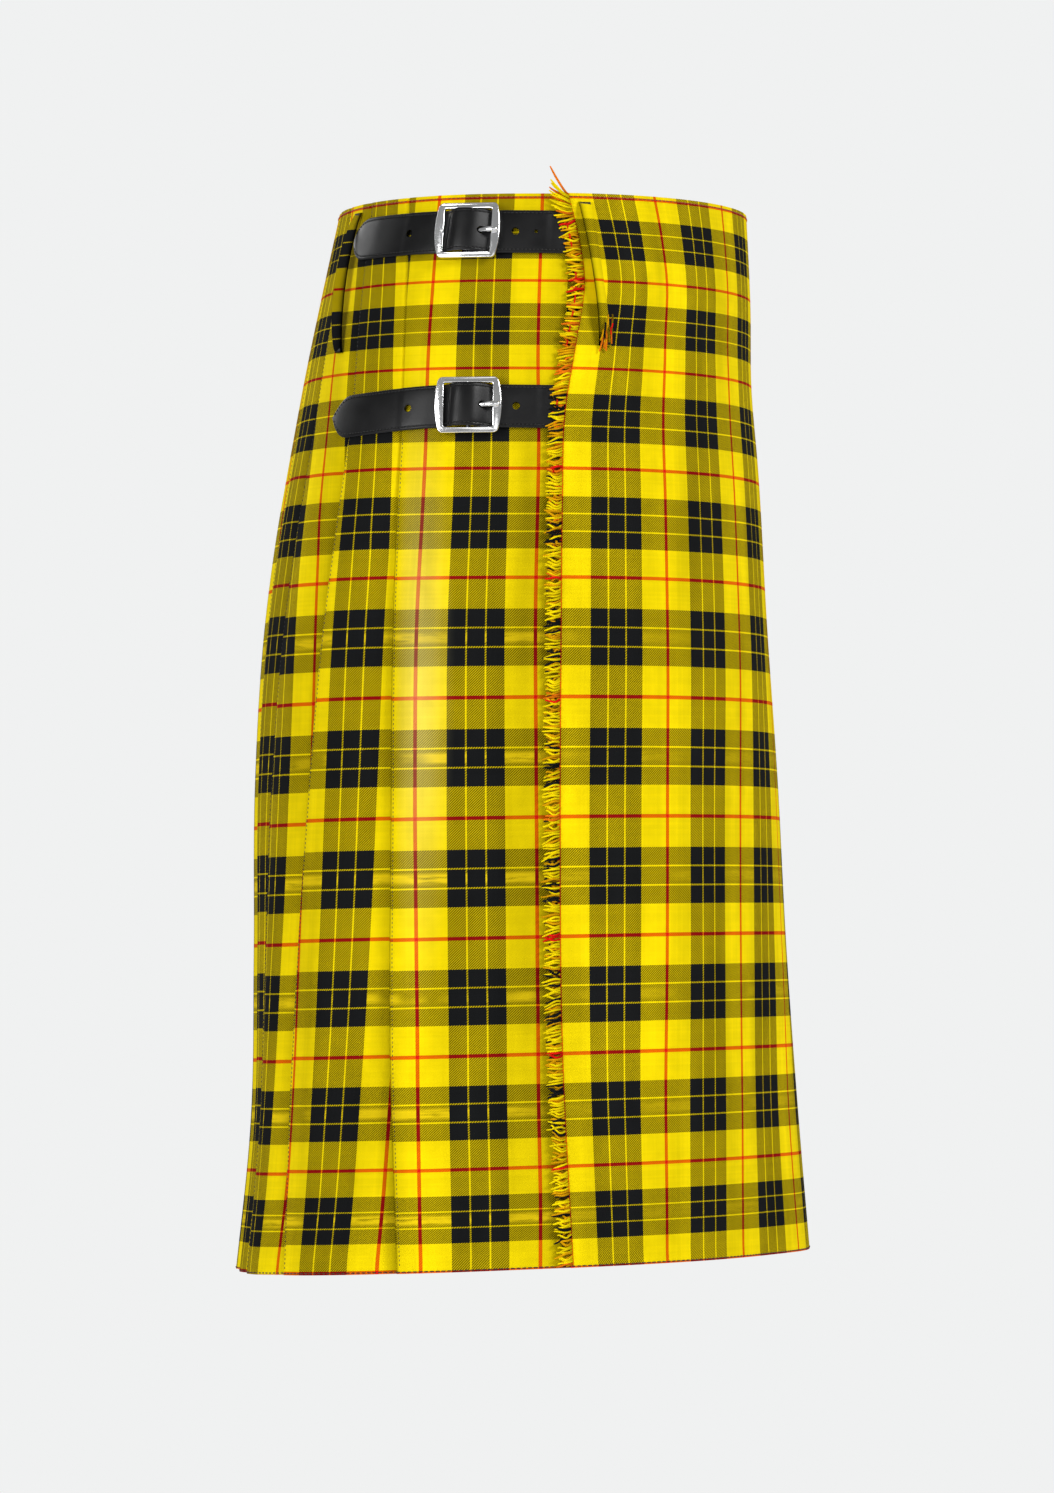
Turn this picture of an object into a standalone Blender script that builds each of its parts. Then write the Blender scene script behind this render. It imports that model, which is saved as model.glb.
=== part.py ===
"""A worn kilt: outer apron, under apron, knife-pleated back, fringe, belt loops, straps and buckles.

Metres, +Z up. The wearer faces -Y, so the wearer's right side is at -X. The origin is the middle of
the waist, level with the upper straps. Every panel of cloth is a thin wall that follows the rings of
the worn body shape; what lies on a panel is made from the same rings, moved out.
"""

import math
import random

import bmesh
import bpy
import numpy as np
from mathutils import Matrix, Vector

# ---- the worn shape -------------------------------------------------------------------------
# Each row is one level of the cloth: how far it reaches to the front, the back and each side, and
# how square its back half is in plan (2 is an ellipse).
SECTIONS = np.array(
    [
        (0.0230, 0.1245, 0.1265, 0.154, 2.15),
        (-0.0330, 0.1270, 0.1385, 0.163, 2.25),
        (-0.0825, 0.1275, 0.1485, 0.170, 2.35),
        (-0.1320, 0.1315, 0.1570, 0.176, 2.45),
        (-0.2300, 0.1370, 0.1710, 0.185, 2.55),
        (-0.3280, 0.1435, 0.1770, 0.192, 2.60),
        (-0.4270, 0.1485, 0.1775, 0.197, 2.60),
        (-0.5250, 0.1553, 0.1790, 0.203, 2.65),
        (-0.6300, 0.1640, 0.1895, 0.210, 2.70),
    ],
    dtype=[("height", float), ("front", float), ("back", float), ("side", float), ("square", float)],
)
FRONT_SQUARE = 2.0

# Where the main vertical edges lie on the wearer's right, as distances behind the waist's middle:
# the outer apron's fringed edge, the folded edge of the under apron, and the first pleat's edge.
EDGES = np.array(
    [
        (0.0230, -0.0125, 0.0815, 0.1045),
        (-0.0050, -0.0190, 0.0820, 0.1075),
        (-0.0270, -0.0222, 0.0825, 0.1100),
        (-0.0690, -0.0168, 0.0838, 0.1135),
        (-0.1070, -0.0106, 0.0850, 0.1160),
        (-0.1660, -0.0087, 0.0880, 0.1240),
        (-0.2400, -0.0079, 0.0905, 0.1335),
        (-0.3500, -0.0073, 0.0915, 0.1430),
        (-0.4820, -0.0085, 0.0920, 0.1510),
        (-0.6300, -0.0160, 0.0870, 0.1565),
    ],
    dtype=[("height", float), ("fringe", float), ("apron_fold", float), ("first_pleat", float)],
)

TOP = 0.0230
HEM = -0.6165  # the hem's height level with the waist's middle
HEM_TILT = 0.0368  # the front of the hem rides up and the back hangs down, per metre of depth
TILT_START = -0.130  # the rows of cloth are level above this height
ROWS = (TOP, 0.0135, -0.0135, -0.045, -0.085, -0.130, -0.185, -0.250, -0.325, -0.400, -0.475, -0.550, HEM)

# ---- cloth ----------------------------------------------------------------------------------
CLOTH = 0.0012
SEAM_GAP = 0.0003
PLEATS = 8  # exposed knife pleats between the under apron's fold and the outer apron
LAYER_STEP_TOP = 0.0019  # between the layers of a pleat where it is stitched down
LAYER_STEP_HEM = 0.0034  # and where it hangs open at the hem
FOLD_DEPTH = 0.70  # how deep a pleat is folded under, as a share of its exposed width
UNDER_APRON_LIFT = -0.0050  # middle of the under apron's wall, below the outermost surface
OUTER_LIFT = -CLOTH / 2
SEAM_FROM_FOLD = 0.0030  # a panel is joined to the pleats this far out of the hidden fold
RISE_LENGTH = 0.030  # the outer apron climbs from under the last pleat over this length
EDGE_ZONE = 0.045  # the outer apron is finer over this length, beside its fringed edge
UNDER_APRON_END = 0.108  # the under apron stops this far in front of the last pleat's edge

# ---- slit for the under apron's strap, in the outer apron, this far in front of the last pleat ----
SLIT_START = 0.0944
SLIT_END = 0.1036
SLIT_CELL = (7, 1)  # the column and row of the outer apron's grid that the slit takes
APRON_COLUMNS = (0.010, 0.020, RISE_LENGTH, 0.062, SLIT_START, SLIT_END, SLIT_END + 0.014, SLIT_END + 0.028)

# ---- fringe ---------------------------------------------------------------------------------
STRANDS = 240
FRINGE_STRIP = 0.0022
FRINGE_LENGTH = 0.0115
FRINGE_HEM = -0.6150
STRAND_TIP = 0.00035
STRAND_SHARES = (0.75, 1.05)  # the shortest and the longest strand, as shares of the fringe's length
STRAND_DROOP = 0.0012
STRAND_WAVES = ((0.0014, 0.31, 0.0), (0.0010, 0.117, 1.0))  # height, turn a strand and start of each
TUFT_RISE = 0.0130  # the topmost strands stand up in a tuft
TUFT_STRANDS = 3.5

# ---- straps and buckles ----------------------------------------------------------------------
STRAP_WIDTH = 0.0258
LEATHER = 0.0020
SPEAR = 0.0175
SPEAR_SWELL = 2.4  # how fast a strap widens from its tip
ROUND_TIP = 0.55  # the upper straps end round
POINTED_TIP = 0.88  # and the lower one in a point
STRAP_HOLE_RADIUS = 0.0023
BUCKLE_LENGTH = 0.0404
BUCKLE_HEIGHT = 0.0340
BUCKLE_SIDE_BAR = 0.0055
BUCKLE_END_BAR = 0.0034
BUCKLE_THICKNESS = 0.0024
BUCKLE_CORNER = 0.0026
BUCKLE_INNER_CORNER = 0.0010
BUCKLE_BOW = 0.0024
BAR_OVERLAP = 0.0015  # how far the centre bar runs into the frame
BAR_LIFT = 0.0039  # the buckle's middle plane above the cloth
CENTRE_BAR_RADIUS = 0.0012
PRONG_RADIUS = 0.0012
CHAPE_LEATHER = 0.0010
CHAPE_WIDTH = 0.0180
CHAPE_TAIL = 0.0090
PRONG_SLOT = 0.0040
SLOT_LENGTH = 0.0100
SLOT_BACK = 0.0040
PUNCH_REACH = 0.0045

BUCKLE_BACK = 0.0456  # the buckles' middles lie this far behind the waist's middle
LOWER_STRAP = -0.1055
UPPER_TIP = 0.0948  # from the buckle's middle along the strap to its tip
UPPER_ROOT = -0.0850  # and back to where it is sewn down
LOWER_TIP = 0.0978
LOWER_ROOT = -0.0750
LOWER_DROP = 0.0042  # the lower strap's tip hangs this far below its buckle
SLIT_REACH = 0.0038  # the left strap climbs through its slit over twice this length
SLIT_LIFT = 0.0015
BETWEEN_APRONS = -0.0028  # the leather's middle where it lies between the two aprons
FRINGE_COVER = 0.0150  # the strap shows from this far behind the outer apron's edge

# Holes along each strap, measured from its buckle's middle; None is the one the prong goes through.
HOLES = {
    "right_upper": (None, 0.0394, -0.0285),
    "right_lower": (None, 0.0369, -0.0285),
    "left_upper": (None, 0.0369),
}

# The strap's run through its buckle: distance along the strap from the centre bar, towards the
# tip, and the height of the leather's middle above the cloth.
STRAP_RUN = np.array(
    [
        (-0.0250, 0.00130),
        (-0.0195, 0.00130),
        (-0.0138, 0.00135),
        (-0.0110, 0.00290),
        (-0.0072, 0.00530),
        (-0.0036, 0.00730),
        (0.0000, 0.00780),
        (0.0036, 0.00780),
        (0.0080, 0.00700),
        (0.0108, 0.00440),
        (0.0138, 0.00135),
        (0.0195, 0.00130),
        (0.0250, 0.00130),
    ],
    dtype=[("along", float), ("lift", float)],
)
PRONG_RUN = np.array(
    [
        (-0.0017, 0.0039),
        (-0.0050, 0.0036),
        (-0.0088, 0.0047),
        (-0.0125, 0.0063),
        (-0.0160, 0.0068),
        (-0.0192, 0.0065),
    ],
    dtype=[("along", float), ("lift", float)],
)

# ---- belt loops ------------------------------------------------------------------------------
LOOP_WIDTH = 0.0080
LOOP_THICKNESS = 0.0014
LOOP_BOW = 0.0040  # how far the middle of a loop stands off the cloth
LOOP_TOP = 0.0178
LOOP_FOOT = -0.0690
LOOPS = np.array(
    [
        ("loop_front", -0.0235, -0.0352, 0.0),
        ("loop_back", 0.1117, 0.1232, 0.0155),
    ],
    dtype=[("name", "U16"), ("top", float), ("foot", float), ("left_shift", float)],
)

CLOTH_YELLOW = (0.72, 0.60, 0.02)
LEATHER_BLACK = (0.02, 0.02, 0.022)
STEEL = (0.80, 0.80, 0.82)


def curve(table, name, height):
    """A column of a table at a height, on a smooth curve through its rows."""
    heights = table["height"][::-1]
    values = table[name][::-1]
    slopes = np.gradient(values, heights)
    row = int(np.clip(np.searchsorted(heights, height) - 1, 0, len(heights) - 2))
    gap = heights[row + 1] - heights[row]
    t = min(max((height - heights[row]) / gap, 0.0), 1.0)
    start = (2 * t**3 - 3 * t**2 + 1) * values[row] + (t**3 - 2 * t**2 + t) * gap * slopes[row]
    end = (3 * t**2 - 2 * t**3) * values[row + 1] + (t**3 - t**2) * gap * slopes[row + 1]
    return start + end


def ease(t):
    """Smooth from 0 to 1."""
    t = min(max(t, 0.0), 1.0)
    return t * t * (3 - 2 * t)


def tilt(height):
    """How much a row of cloth drops per metre towards the back."""
    return HEM_TILT * max(0.0, TILT_START - height) / (TILT_START - HEM)


class Ring:
    """The outermost surface at one height, walked from the wearer's right side round the back."""

    STEPS = 720

    def __init__(self, height):
        self.height = height
        self.tilt = tilt(height)
        front = curve(SECTIONS, "front", height)
        back = curve(SECTIONS, "back", height)
        side = curve(SECTIONS, "side", height)
        self.middle = (back - front) / 2
        depth = (back + front) / 2
        self.turns = np.linspace(-2 * math.pi, 2 * math.pi, 2 * self.STEPS + 1)
        across = np.cos(self.turns)
        behind = np.sin(self.turns)
        square = np.where(behind > 0, curve(SECTIONS, "square", height), FRONT_SQUARE)
        reach = ((np.abs(across) / side) ** square + (np.abs(behind) / depth) ** square) ** (-1 / square)
        self.x = -reach * across
        self.y = self.middle + reach * behind
        out_x = np.sign(self.x) * np.abs(self.x / side) ** (square - 1) / side
        out_y = np.sign(behind) * np.abs((self.y - self.middle) / depth) ** (square - 1) / depth
        size = np.hypot(out_x, out_y)
        self.out_x = out_x / size
        self.out_y = out_y / size
        steps = np.hypot(np.diff(self.x), np.diff(self.y))
        walk = np.concatenate([[0.0], np.cumsum(steps)])
        self.walk = walk - walk[self.STEPS]
        self.length = self.walk[-1]

    def at_turn(self, turn, lift=0.0):
        """The point at an angle round the ring, moved out by lift."""
        x = np.interp(turn, self.turns, self.x + lift * self.out_x)
        y = np.interp(turn, self.turns, self.y + lift * self.out_y)
        return np.array([x, y, self.height - self.tilt * y])

    def at(self, walk, lift=0.0):
        """The point at a distance walked round the ring, moved out by lift."""
        return self.at_turn(self.turn(walk), lift)

    def turn(self, walk):
        return float(np.interp(walk, self.walk, self.turns))

    def walk_at_turn(self, turn):
        return float(np.interp(turn, self.turns, self.walk))

    def walk_to(self, behind):
        """The distance walked, on the wearer's right, to the point that lies this far back."""
        right = np.abs(self.turns) < math.pi / 2
        return float(np.interp(behind, self.y[right], self.walk[right]))


def pleat_edges(ring):
    """Where the folded edges lie, from the under apron's fold round to the last pleat's."""
    fold = ring.walk_to(curve(EDGES, "apron_fold", ring.height))
    first = ring.walk_to(curve(EDGES, "first_pleat", ring.height))
    last = ring.length / 2 - fold
    return [fold, *np.linspace(first, last, PLEATS)]


def layer_step(height):
    return LAYER_STEP_TOP + (LAYER_STEP_HEM - LAYER_STEP_TOP) * ease((TOP - height) / (TOP - HEM))


def half_turn(walk, lift, radius, side):
    """Points round a fold that starts at (walk, lift), turns under and bulges to one side."""
    return [
        (walk + side * radius * math.sin(angle), lift - radius * (1 - math.cos(angle)))
        for angle in (0.0, math.pi / 3, 2 * math.pi / 3, math.pi)
    ]


def fold_under(edge, depth, step, slope):
    """A pleat's folded edge and the layer under it, back to the deep inner fold."""
    radius = step / 2
    outer = half_turn(edge - radius, OUTER_LIFT, radius, 1)
    middle = (edge - depth / 2, OUTER_LIFT - step - slope * depth / 2)
    return [*outer, middle]


def deep_fold(edge, depth, step, slope):
    """A pleat's inner fold, from the under layer to the layer that runs out to the next pleat."""
    return half_turn(edge - depth, OUTER_LIFT - step - slope * depth, step / 2, -1)


def beside_deep_fold(edge, depth, layer, step, slope, past=SEAM_FROM_FOLD):
    """A point on a hidden layer (1 goes under, 2 comes out again), a short way from its deep fold."""
    return (edge - depth + past, OUTER_LIFT - layer * step - slope * (depth - past))


def pleat_path(ring):
    """The pleated back at one height, as (walk, lift) of the middle of its wall."""
    edges = pleat_edges(ring)
    step = layer_step(ring.height)
    widths = np.diff(edges)
    depth, slope = FOLD_DEPTH * widths[0], 2 * step / widths[0]
    path = [beside_deep_fold(edges[0], depth, 1, step, slope)]
    for start, edge, width in zip(edges, edges[1:], widths):
        path += deep_fold(start, depth, step, slope)
        path.append((start - depth / 2, OUTER_LIFT - 2 * step - slope * depth / 2))
        for share in (0.0, 0.36, 0.70):
            path.append((start + share * width, OUTER_LIFT - 2 * step * (1 - share)))
        depth, slope = FOLD_DEPTH * width, 2 * step / width
        path += fold_under(edge, depth, step, slope)
    path += deep_fold(edges[-1], depth, step, slope)
    path.append(beside_deep_fold(edges[-1], depth, 2, step, slope))
    return path


def under_apron_lift(ring, walk):
    """The middle of the under apron's wall: deep below the outer apron, rising to its own fold."""
    fold = pleat_edges(ring)[0]
    edge = ring.walk_to(curve(EDGES, "fringe", ring.height))
    return UNDER_APRON_LIFT + (OUTER_LIFT - UNDER_APRON_LIFT) * ease((walk - edge) / (fold - edge))


def under_apron_path(ring):
    """The under apron, from its end on the wearer's left round the front to the fold on the right."""
    edges = pleat_edges(ring)
    step = layer_step(ring.height)
    width = edges[1] - edges[0]
    slope = 2 * step / width
    end = edges[-1] + UNDER_APRON_END - ring.length
    fringe = ring.walk_to(curve(EDGES, "fringe", ring.height))
    hidden = np.linspace(end, fringe, 15)
    shown = np.linspace(fringe, edges[0] - step / 2, 8)[1:-1]
    path = [(walk, under_apron_lift(ring, walk)) for walk in (*hidden, *shown)]
    depth = FOLD_DEPTH * width
    path += fold_under(edges[0], depth, step, slope)
    path.append(beside_deep_fold(edges[0], depth, 1, step, slope, SEAM_FROM_FOLD + SEAM_GAP))
    return path


def outer_apron_lift(ring, past_edge):
    """The middle of the outer apron's wall, by the distance from the last pleat's edge."""
    step = layer_step(ring.height)
    return OUTER_LIFT - 2 * step * (1 - ease(past_edge / RISE_LENGTH))


def outer_apron_path(ring):
    """The outer apron, from its seam under the last pleat round the front to the fringed edge."""
    edges = pleat_edges(ring)
    step = layer_step(ring.height)
    width = edges[-1] - edges[-2]
    slope = 2 * step / width
    depth = FOLD_DEPTH * width
    end = ring.length + ring.walk_to(curve(EDGES, "fringe", ring.height))
    path = [
        beside_deep_fold(edges[-1], depth, 2, step, slope, SEAM_FROM_FOLD + SEAM_GAP),
        (edges[-1] - depth / 2, OUTER_LIFT - 2 * step - slope * depth / 2),
        (edges[-1], OUTER_LIFT - 2 * step),
    ]
    path += [(edges[-1] + past, outer_apron_lift(ring, past)) for past in APRON_COLUMNS]
    front = np.linspace(edges[-1] + APRON_COLUMNS[-1], end - EDGE_ZONE, 14)[1:]
    beside_edge = np.linspace(end - EDGE_ZONE, end, 4)[1:]
    path += [(walk, OUTER_LIFT) for walk in (*front, *beside_edge)]
    return path


# ---- meshes ----------------------------------------------------------------------------------
def material(name, colour, roughness, metallic=0.0):
    found = bpy.data.materials.get(name)
    if found:
        return found
    made = bpy.data.materials.new(name)
    made.use_nodes = True
    shader = made.node_tree.nodes["Principled BSDF"]
    shader.inputs["Base Color"].default_value = (*colour, 1.0)
    shader.inputs["Roughness"].default_value = roughness
    shader.inputs["Metallic"].default_value = metallic
    return made


def add_object(name, points, faces, finish):
    """A closed mesh object, with its faces turned outwards."""
    mesh = bpy.data.meshes.new(name)
    mesh.from_pydata([tuple(p) for p in points], [], faces)
    work = bmesh.new()
    work.from_mesh(mesh)
    bmesh.ops.recalc_face_normals(work, faces=work.faces)
    if work.calc_volume(signed=True) < 0:
        bmesh.ops.reverse_faces(work, faces=work.faces)
    work.to_mesh(mesh)
    work.free()
    made = bpy.data.objects.new(name, mesh)
    mesh.materials.append(finish)
    bpy.context.collection.objects.link(made)
    return made


def wall_sides(points, thickness):
    """Both faces of a wall whose middle runs through points, all at one height."""
    flat = points[:, :2]
    before = np.diff(flat, axis=0)
    before /= np.linalg.norm(before, axis=1)[:, None]
    along = np.vstack([before[:1], before[:-1] + before[1:], before[-1:]])
    along /= np.linalg.norm(along, axis=1)[:, None]
    first = np.vstack([before[:1], before])
    reach = np.clip(np.sum(along * first, axis=1), 0.6, 1.0)
    side = np.column_stack([along[:, 1], -along[:, 0], np.zeros(len(flat))])
    side *= (thickness / 2 / reach)[:, None]
    return points + side, points - side


def wall(name, path_at, finish, gaps=()):
    """A cloth panel: path_at gives each row's path, and gaps are cells of its grid left open."""
    outer, inner = [], []
    for height in ROWS:
        ring = Ring(height)
        middle = np.array([ring.at(walk, lift) for walk, lift in path_at(ring)])
        one, other = wall_sides(middle, CLOTH)
        outer.append(one)
        inner.append(other)
    rows, columns = len(outer), len(outer[0])
    points = np.vstack([*outer, *inner])
    shift = rows * columns
    kept = {(i, j) for i in range(columns - 1) for j in range(rows - 1)} - set(gaps)

    def corner(i, j):
        return j * columns + i

    faces = []
    for i, j in sorted(kept):
        face = [corner(i, j), corner(i + 1, j), corner(i + 1, j + 1), corner(i, j + 1)]
        faces.append(face)
        faces.append([v + shift for v in reversed(face)])
        for k, beside in enumerate(((i, j - 1), (i + 1, j), (i, j + 1), (i - 1, j))):
            if beside not in kept:
                a, b = face[k], face[(k + 1) % 4]
                faces.append([b, a, a + shift, b + shift])
    used = sorted({v for face in faces for v in face})
    place = {v: n for n, v in enumerate(used)}
    return add_object(name, points[used], [[place[v] for v in face] for face in faces], finish)


def fringe(name, finish):
    """A narrow strip along the outer apron's edge, with a strand from every other root."""
    chance = random.Random(7)
    levels = np.linspace(TOP, FRINGE_HEM, STRANDS + 1)
    points, faces = [], []
    rings = [Ring(height) for height in ROWS]
    edges = [ring.length + ring.walk_to(curve(EDGES, "fringe", ring.height)) for ring in rings]

    def place(number, along, lift, drop=0.0):
        """A point beside the apron's edge, which runs straight from one row of cloth to the next."""
        row = int(np.searchsorted(-np.array(ROWS), -levels[number], side="right")) - 1
        row = min(row, len(ROWS) - 2)
        share = (ROWS[row] - levels[number]) / (ROWS[row] - ROWS[row + 1])
        upper = rings[row].at(edges[row] + SEAM_GAP + along, lift)
        lower = rings[row + 1].at(edges[row + 1] + SEAM_GAP + along, lift)
        return upper * (1 - share) + lower * share - np.array([0, 0, drop])

    for number in range(STRANDS + 1):
        for along, lift in (
            (0.0, OUTER_LIFT + CLOTH / 2),
            (0.0, OUTER_LIFT - CLOTH / 2),
            (FRINGE_STRIP, OUTER_LIFT - CLOTH / 2),
            (FRINGE_STRIP, OUTER_LIFT + CLOTH / 2),
        ):
            points.append(place(number, along, lift))
    faces.append([0, 1, 2, 3])
    faces.append([4 * STRANDS + k for k in (3, 2, 1, 0)])
    pitch = (TOP - FRINGE_HEM) / STRANDS
    for number in range(STRANDS):
        low, high = 4 * number, 4 * number + 4
        for a, b in ((0, 1), (1, 2), (3, 0)):
            faces.append([low + b, low + a, high + a, high + b])
        root = [low + 2, low + 3, high + 3]
        faces.append([low + 2, high + 3, high + 2])
        length = FRINGE_LENGTH * chance.uniform(*STRAND_SHARES)
        wave = sum(size * math.sin(number * turn + start) for size, turn, start in STRAND_WAVES)
        rise = TUFT_RISE * math.exp(-number / TUFT_STRANDS)
        droop = STRAND_DROOP + wave + chance.uniform(-0.0005, 0.0005) - rise
        lift = OUTER_LIFT + chance.uniform(-0.0001, 0.0009)
        tip = len(points)
        for below, out in ((-1, -1), (-1, 1), (1, 1)):
            drop = droop + pitch / 2 + below * STRAND_TIP
            points.append(place(number, FRINGE_STRIP + length, lift + out * STRAND_TIP, drop))
        for k in range(3):
            faces.append([root[(k + 1) % 3], root[k], tip + k, tip + (k + 1) % 3])
        faces.append([tip, tip + 1, tip + 2][::-1])
    return add_object(name, points, faces, finish)


def tube(path, radius, name, finish, sides=8):
    """A round bar with flat ends along a path of points."""
    points, faces = [], []
    path = [Vector(p) for p in path]
    for n, spot in enumerate(path):
        forward = (path[min(n + 1, len(path) - 1)] - path[max(n - 1, 0)]).normalized()
        across = forward.orthogonal().normalized() if n == 0 else across
        across = (across - forward * across.dot(forward)).normalized()
        other = forward.cross(across)
        for k in range(sides):
            angle = 2 * math.pi * (k + 0.5) / sides
            points.append(spot + radius * (math.cos(angle) * across + math.sin(angle) * other))
    for n in range(len(path) - 1):
        for k in range(sides):
            a, b = n * sides + k, n * sides + (k + 1) % sides
            faces.append([a, b, b + sides, a + sides])
    faces.append(list(range(sides))[::-1])
    faces.append([(len(path) - 1) * sides + k for k in range(sides)])
    return add_object(name, points, faces, finish)


class Fastening:
    """Where one strap and buckle lie: the buckle's place and the strap's run round the body."""

    def __init__(self, name, height, buckle, tip, root, direction):
        self.name = name
        self.height = height
        self.tip = tip
        self.root = root
        self.direction = direction
        self.tip_drop = 0.0
        self.tip_shape = ROUND_TIP
        self.ring = Ring(height)
        self.buckle = buckle

    def base(self, along):
        """The outermost cloth's lift under the strap at a distance from the buckle."""
        return 0.0

    def turn(self, along):
        return self.ring.turn(self.buckle + self.direction * along)

    def point(self, along, across, lift):
        """A point by its distance along the strap, its height on it, and its lift above the ring."""
        drop = self.tip_drop * ease(along / self.tip) if along > 0 else 0.0
        height, turn = self.height - drop + across, self.turn(along)
        seat = Ring(height).at_turn(turn)
        up = Ring(height + 0.005).at_turn(turn) - Ring(height - 0.005).at_turn(turn)
        out = Ring(height).at_turn(turn, 1.0) - seat
        out -= up * np.dot(out, up) / np.dot(up, up)
        return seat + out * lift / np.linalg.norm(out)

    def frame(self):
        """The buckle's own axes: X along the strap towards its tip, Y up, Z out."""
        middle = Vector(self.point(0.0, 0.0, self.base(0.0)))
        above, below = (Vector(self.point(0.0, side * 0.01, self.base(0.0))) for side in (1, -1))
        reach = BUCKLE_LENGTH / 2
        ahead, behind = (Vector(self.point(side * reach, 0.0, self.base(side * reach))) for side in (1, -1))
        along = (ahead - behind).normalized()
        out = along.cross(above - below).normalized() * -self.direction
        up = out.cross(along)
        axes = Matrix((along, up, out)).transposed().to_4x4()
        return Matrix.Translation(middle) @ axes


class RightFastening(Fastening):
    """One that comes from under the outer apron's fringed edge and lies on the under apron."""

    def base(self, along):
        walk = self.buckle + self.direction * along
        fold = pleat_edges(self.ring)[0]
        if walk >= fold:
            return 0.0
        return under_apron_lift(self.ring, walk) + CLOTH / 2 + SEAM_GAP


def strap_lift(fastening, along):
    """The leather's middle above the ring at a distance from the buckle."""
    start = fastening.hidden[-1][0]
    if along <= start:
        return float(np.interp(along, *zip(*fastening.hidden)))
    return fastening.base(along) + float(np.interp(along, STRAP_RUN["along"], STRAP_RUN["lift"]))


def strap(fastening, finish):
    """The leather strap: flat along the cloth, up over the centre bar, and a spear-shaped tip."""
    tip, root = fastening.tip, fastening.root
    stations = sorted(
        {
            *np.linspace(root, fastening.hidden[1][0], 4),
            *np.linspace(fastening.hidden[-1][0], STRAP_RUN["along"][0], 3),
            *STRAP_RUN["along"],
            *np.linspace(STRAP_RUN["along"][-1], tip - SPEAR, 5),
            *(tip - SPEAR * (1 - math.sin(k * math.pi / 12)) for k in range(1, 6)),
            tip - 0.0004,
        }
    )
    points = []
    for along in stations:
        left = (tip - along) / SPEAR
        half = STRAP_WIDTH / 2
        if left < 1:
            half *= max(1 - (1 - left) ** SPEAR_SWELL, 0.02) ** fastening.tip_shape
        lift = strap_lift(fastening, along)
        for across in (-half, half):
            for side in (LEATHER / 2, -LEATHER / 2):
                points.append(fastening.point(along, across, lift + side))
    faces = [[0, 1, 3, 2], [len(points) - k for k in (2, 1, 3, 4)]]
    for n in range(len(stations) - 1):
        a = 4 * n
        for i, j in ((0, 1), (1, 3), (3, 2), (2, 0)):
            faces.append([a + i, a + j, a + j + 4, a + i + 4])
    return add_object("strap_" + fastening.name, points, faces, finish)


def cut_holes(piece, fastening, holes):
    """Punches round holes through a strap; the one for the prong leans the way the prong does."""
    frame = fastening.frame()
    for number, along in enumerate(holes):
        if along is None:
            low = Vector((PRONG_RUN["along"][1], 0, PRONG_RUN["lift"][1]))
            high = Vector((PRONG_RUN["along"][3], 0, PRONG_RUN["lift"][3]))
            middle = frame @ ((low + high) / 2)
            axis = frame.to_3x3() @ (high - low).normalized()
        else:
            middle = Vector(fastening.point(along, 0.0, strap_lift(fastening, along)))
            outside = Vector(fastening.point(along, 0.0, strap_lift(fastening, along) + 0.01))
            axis = (outside - middle).normalized()
        ends = [middle - axis * PUNCH_REACH, middle + axis * PUNCH_REACH]
        name = f"cut_{fastening.name}_{number}"
        cutter = tube(ends, STRAP_HOLE_RADIUS, name, piece.data.materials[0], 10)
        cutter.hide_render = True
        cutter.display_type = "WIRE"
        hole = piece.modifiers.new(f"hole_{number}", "BOOLEAN")
        hole.operation = "DIFFERENCE"
        hole.solver = "EXACT"
        hole.object = cutter


def buckle(fastening, finish):
    """The buckle's frame with its centre bar, one piece: bowed side bars and thinner end bars."""
    length, height = BUCKLE_LENGTH / 2, BUCKLE_HEIGHT / 2
    in_x, in_y = length - BUCKLE_SIDE_BAR, height - BUCKLE_END_BAR
    outer, inner = [], []
    for sx, sy in ((1, 1), (-1, 1), (-1, -1), (1, -1)):
        start = math.atan2(sy, sx) - math.pi / 4
        out_middle = (sx * (length - BUCKLE_BOW - BUCKLE_CORNER), sy * (height - BUCKLE_CORNER))
        in_middle = (sx * (in_x - BUCKLE_INNER_CORNER), sy * (in_y - BUCKLE_INNER_CORNER))
        for k in range(3):
            angle = start + k * math.pi / 4
            for ring, middle, radius in (
                (outer, out_middle, BUCKLE_CORNER),
                (inner, in_middle, BUCKLE_INNER_CORNER),
            ):
                x = middle[0] + radius * math.cos(angle)
                y = middle[1] + radius * math.sin(angle)
                ring.append((x, y))
        if sx != sy:
            outer.append((sx * length, 0.0))
            inner.append((sx * in_x, 0.0))
    count = len(outer)
    half = BUCKLE_THICKNESS / 2
    frame = fastening.frame()
    shape = [(x, y, BAR_LIFT + side) for side in (-half, half) for x, y in (*outer, *inner)]
    faces = []
    for k in range(count):
        n = (k + 1) % count
        low_out, low_in, high_out, high_in = 0, count, 2 * count, 3 * count
        faces.append([low_out + k, low_out + n, low_in + n, low_in + k][::-1])
        faces.append([high_out + k, high_out + n, high_in + n, high_in + k])
        faces.append([low_out + k, low_out + n, high_out + n, high_out + k])
        faces.append([low_in + n, low_in + k, high_in + k, high_in + n])
    name = "buckle_" + fastening.name
    piece = add_object(name, [frame @ Vector(p) for p in shape], faces, finish)
    bar_ends = [frame @ Vector((0, side * (in_y + BAR_OVERLAP), BAR_LIFT)) for side in (-1, 1)]
    bar = tube(bar_ends, CENTRE_BAR_RADIUS, "bar_" + fastening.name, finish, 8)
    bar.hide_render = True
    bar.display_type = "WIRE"
    join = piece.modifiers.new("centre bar", "BOOLEAN")
    join.operation = "UNION"
    join.solver = "EXACT"
    join.object = bar


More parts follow.
